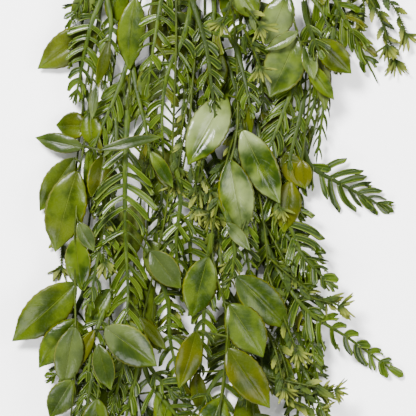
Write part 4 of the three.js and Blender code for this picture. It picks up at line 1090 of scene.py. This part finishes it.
colour = blend_colours(tree, step(tree, edge, 0.87, 0.97, 0, 0.85), colour, (0.0773, 0.0823, 0.0009))
colour = blend_colours(tree, step(tree, along, 0.72, 1, 0, 0.6), colour, (0.0437, 0.0722, 0.0009))
# Painted highlight: pale whitish-green patches mixed into the colour where a leaf's share of painted sheen
# is high
sheen = calc(tree, "MULTIPLY", step(tree, noise(tree, 27, 5), 0.38, 0.68), bloom)
colour = blend_colours(tree, calc(tree, "MULTIPLY", sheen, 0.7), colour, (0.150, 0.185, 0.072))
colour = blend_colours(tree, calc(tree, "MULTIPLY", under, 0.65), colour, (0.0504, 0.0638, 0.0096))
tree.links.new(colour, shader.inputs["Base Color"])
dull = step(tree, bloom, 0.5, 0, 0, 0.08)
rough = calc(tree, "ADD", step(tree, grain, 0.3, 0.7, 0.14, 0.25), dull)
tree.links.new(rough, shader.inputs["Roughness"])
tree.links.new(step(tree, bloom, 0, 0.5, 0.09, 0.17), shader.inputs["Specular IOR Level"])
ridges = calc(tree, "SUBTRACT", calc(tree, "MULTIPLY", vein, -0.06), rib)
ridges = calc(tree, "ADD", ridges, calc(tree, "MULTIPLY", broad, 3.0))
ridges = calc(tree, "ADD", ridges, calc(tree, "MULTIPLY", grain, 0.16))
bumped(tree, shader, ridges, 0.0007)

for stem in stems.values():
    stem.reseed()
    own = [grow_leaf(stem, *leaf) for leaf in LEAVES.get(stem.name, [])]
    if stem.name in HANGING_LEAVES:
        given = dict(HANGING_LEAVES[stem.name])
        width = given.pop("width")
        for k, side, aim, far in stem.hanging(**given):
            x, y, _ = stem.line[k]
            base = (x + 8 * math.cos(aim), y + 8 * math.sin(aim))
            turn = aim - side * 0.3
            tip = (base[0] + far * math.cos(turn), base[1] + far * math.sin(turn))
            own.append(grow_leaf(stem, base, tip, width * between(0.85, 1.05)))
    looks = list(LOOKS.get(stem.name, []))
    looks += [(chance.uniform(0.05, 0.95), chance.uniform(0, 0.25)) for _ in own[len(looks):]]
    for *leaf, look in LESSER_LEAVES.get(stem.name, []):
        own.append(add_leaf(stem, *leaf))
        looks.append(look)
    if own:
        name = stem.name + "_blades"
        piece(name, mesh_of(name, [leaf_blade(leaf) for leaf in own], looks), stem.name, "leaf", leaf_wax)
        name = stem.name + "_petioles"
        piece(name, swept(name, [leaf["petiole"] for leaf in own], stem_skin), stem.name, "leaf")

# ---- Sprigs: matt plastic twigs set with fine spines, toothed bracts, and a tuft at each end ----
# They are moulded in one piece with their stem. The spines are dark; the bracts and the tufts' narrow
# blades turn pale yellow towards their tips. Each twig is its path from the stem.
TWIGS = {
    "sprig_top_right": [
        [(129, 198), (145, 179), (157, 155), (165, 130)],
        [(119, 216), (150, 191), (165, 174), (174, 153)],
        [(106, 230), (124, 200), (127, 174)],
    ],
    "sprig_left": [
        [(-118, -2), (-127, -24), (-129, -52)],
        [(-113, 59), (-90, 16), (-84, -24)],
        [(-103, 129), (-84, 94), (-84, 64)],
    ],
    "sprig_inner": [
        [(-14, 103), (-23, 68), (-23, 33)],
        [(-17, 68), (-5, 50), (-7, 16)],
        [(-31, -2), (-38, -47), (-33, -94)],
        [(-49, -96), (-37, -110), (-16, -117)],
    ],
    "sprig_low_right": [
        [(47, -146), (59, -164), (80, -164), (99, -164)],
        [(52, -47), (77, -64), (103, -80)],
        [(47, -106), (63, -124), (70, -148)],
        [(38, 42), (56, 21), (63, 0)],
        [(31, 94), (12, 24), (9, -28)],
    ],
}
# Finer twigs between the drawn ones: their path and the height of their tips
LESSER_TWIGS = {
    "sprig_low_right": [
        ([(32, 85), (17, 42), (2, -5)], 38),
        ([(44, 16), (31, -16), (21, -47)], 38),
        ([(29, 164), (37, 143), (45, 122)], 52),
        ([(51, -63), (66, -96), (78, -125)], 34),
        ([(49, -97), (59, -125), (66, -157)], 34),
        ([(24, 190), (19, 174), (12, 160)], 58),
        ([(28, 181), (37, 169), (45, 157)], 58),
        ([(47, -146), (78, -161), (99, -160)], 32),
        ([(47, -146), (67, -165), (96, -177)], 28),
        ([(47, -146), (80, -153), (110, -158)], 36),
    ],
    "sprig_inner": [
        ([(-17, 77), (-23, 52), (-28, 21)], 34),
        ([(-17, 66), (-9, 42), (3, 14)], 36),
        ([(-18, 54), (-12, 28), (-9, 0)], 34),
    ],
    "sprig_left": [
        ([(-117, 33), (-97, -3), (-90, -47)], 26),
    ],
    "sprig_top_right": [
        ([(120, 212), (137, 191), (153, 162), (157, 143)], 12),
        ([(113, 223), (129, 202), (137, 176), (134, 151)], 12),
    ],
    "fern_low_right": [
        ([(64, -52), (80, -68), (99, -80), (115, -85)], 30),
    ],
}
TOOTH_PITCH = 12
SPINE_PITCH = 2.3
BRACT_CELLS = 0.62
TUFT_BLADES = 15
TWIG_RADIUS = 1.1
SPRIG_DARK = (0.0055, 0.0125, 0.0003)
SPRIG_LIGHT = (0.0170, 0.0310, 0.0006)
sprig_matte, tree, shader = new_material("sprig_matte", 0.5, 0.12)
edge, along, under, tint = blade_parts(tree)
grain = noise(tree, 300, 3)
green = blend_colours(tree, step(tree, grain, 0.35, 0.65), SPRIG_DARK, SPRIG_LIGHT)
green = blend_colours(tree, step(tree, edge, 0.75, 1, 0, 0.6), green, (0.0168, 0.0353, 0.0012))
pale = blend_colours(tree, step(tree, tint, 0.2, 0.9), (0.0380, 0.0600, 0.0030), (0.1150, 0.1300, 0.0160))
reach = calc(tree, "MULTIPLY", step(tree, along, 0.1, 0.85), step(tree, tint, 0.15, 0.75, 0.1, 1))
colour = blend_colours(tree, reach, green, pale)
tree.links.new(colour, shader.inputs["Base Color"])
raised = calc(tree, "ADD", step(tree, edge, 0.4, 0.1), calc(tree, "MULTIPLY", grain, 0.4))
bumped(tree, shader, raised, 0.0003)


def jagged(t):
    """The width of a bract whose sides have small teeth"""
    swelling = 1.1 * math.sin(math.pi * min(1, t * 0.88 + 0.12)) ** 0.75
    return swelling * (0.74 + 0.4 * (t * 5 % 1)) if t < 1 else 0


def narrow(t):
    """The width of a tuft's blade"""
    return 0.5 + 0.6 * math.sin(math.pi * min(1, t * 0.85 + 0.1)) if t < 1 else 0


def spiky(t):
    """The width of a spine"""
    return 1.1 - t


SPRIG_SHAPES = {
    "bracts": pattern("bract_shape", 21, 5, jagged, 0.05),
    "tufts": pattern("tuft_shape", 9, 5, narrow, 0.08),
    "spines": pattern("spine_shape", 3, 3, spiky, 0.16, profile=lambda side: 0),
}


def grow_twig(stem, path, end=None):
    """A twig with what it bears. Without an end height it is one of the solid's, and follows it."""
    root = stem.nearest(path[0])
    x, y, _ = stem.line[root]
    places = walk([(x, y), *path[1:]], TOOTH_PITCH)
    cells = len(places) - 1
    if end is None:
        z = stem.along(places, first=stem.z[root])
        for _ in range(6 * (cells - 1) + 10):
            random()
    else:
        z = arched(stem.z[root], end, cells + 1)
    knots = range(cells + 1)
    x, y = (np.array([place[k] for place in places]) for k in (0, 1))
    heading = np.unwrap([place[2] for place in places])

    def at(s):
        """The place and heading s cells along the twig"""
        return [float(np.interp(s, knots, row)) for row in (x, y, z)], float(np.interp(s, knots, heading))

    for s in np.arange(0.4, cells, SPINE_PITCH / TOOTH_PITCH):
        start, ahead = at(s)
        for side in (1, -1):
            out = chance.uniform(2.2, 3.6)
            item = dict(start=start, aim=ahead + side * chance.uniform(0.6, 1.0), side=side, out=out,
                        lift=out * chance.uniform(-0.4, 0.5))
            laid["spines"].append(lay(item, chance.uniform(1.0, 1.5), 0, 0, 0, chance.uniform(0, 0.5)))
    for s in np.arange(1.3, cells, BRACT_CELLS):
        start, ahead = at(s + chance.uniform(-0.15, 0.15))
        side = chance.choice((-1, 1))
        out = chance.uniform(8, 17)
        item = dict(start=start, aim=ahead + side * chance.uniform(0.35, 0.85), side=side, out=out,
                    lift=out * chance.uniform(-0.3, 0.3))
        laid["bracts"].append(lay(item, out * chance.uniform(0.36, 0.5), chance.normal(0, 0.5), 0.2,
                                  chance.uniform(0, 1.5), chance.uniform(0, 0.95)))
    for _ in range(TUFT_BLADES):
        out = chance.uniform(8, 18)
        item = dict(start=(x[-1], y[-1], z[-1]), aim=heading[-1] + chance.uniform(-1.15, 1.15), side=0,
                    out=out, lift=out * chance.uniform(-0.25, 0.35))
        laid["tufts"].append(lay(item, chance.uniform(1.5, 2.5), chance.normal(0, 0.5), 0,
                                 chance.uniform(-2, 2), chance.uniform(0.5, 1)))
    return [(a, b, c) for a, b, c in zip(x, y, z)], [TWIG_RADIUS * (1 - 0.5 * k / cells) for k in knots]


for stem in stems.values():
    laid = {kind: [] for kind in SPRIG_SHAPES}
    stem.reseed()
    paths = [grow_twig(stem, path) for path in TWIGS.get(stem.name, [])]
    paths += [grow_twig(stem, path, end) for path, end in LESSER_TWIGS.get(stem.name, [])]
    if paths:
        name = stem.name + "_twigs"
        piece(name, swept(name, paths, stem_skin, 7), stem.name, "sprig")
        for kind, own in laid.items():
            name = stem.name + "_" + kind
            piece(name, strewn(name, own, SPRIG_SHAPES[kind], sprig_matte), stem.name, "sprig")
for shape in SPRIG_SHAPES.values():
    bpy.data.objects.remove(shape)

# ---- Binding: a natural cord wound eight times round all the stems, just below their cut ends ----
# It is swept as a round along its winding, which follows a rounded oblong as wide as the rows of stems.
CORD_RADIUS = 1.08
WINDINGS = 8
TURN_STEPS = 72
# The oblong's corners, from a round (2) to square
CORNER = 5
CORD_DARK = (0.075, 0.05, 0.02)
CORD_LIGHT = (0.19, 0.13, 0.062)
low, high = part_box("stem_binding")
half_width, half_length, half_height = np.array(high - low) * 500 - CORD_RADIUS
centre = np.array(low + high) * 500 - SHIFT
winding = []
for angle in np.linspace(0, 2 * math.pi * WINDINGS, TURN_STEPS * WINDINGS + 1):
    c, s = math.cos(angle), math.sin(angle)
    reach = ((abs(c) / half_width) ** CORNER + (abs(s) / half_height) ** CORNER) ** (-1 / CORNER)
    y = half_length * (1 - angle / (math.pi * WINDINGS))
    winding.append((centre[0] + reach * c, centre[1] + y, centre[2] + reach * s))
cord_fibre, tree, shader = new_material("cord_fibre", 0.8)
strand = noise(tree, 900, 2, (1, 5, 1))
colour = blend_colours(tree, step(tree, strand, 0.3, 0.7), CORD_DARK, CORD_LIGHT)
tree.links.new(colour, shader.inputs["Base Color"])
bumped(tree, shader, strand, 0.0006)
cord = swept("binding_cord", [(winding, [CORD_RADIUS] * len(winding))], cord_fibre, 8)
piece("binding_cord", cord, "stem_binding", "binding")
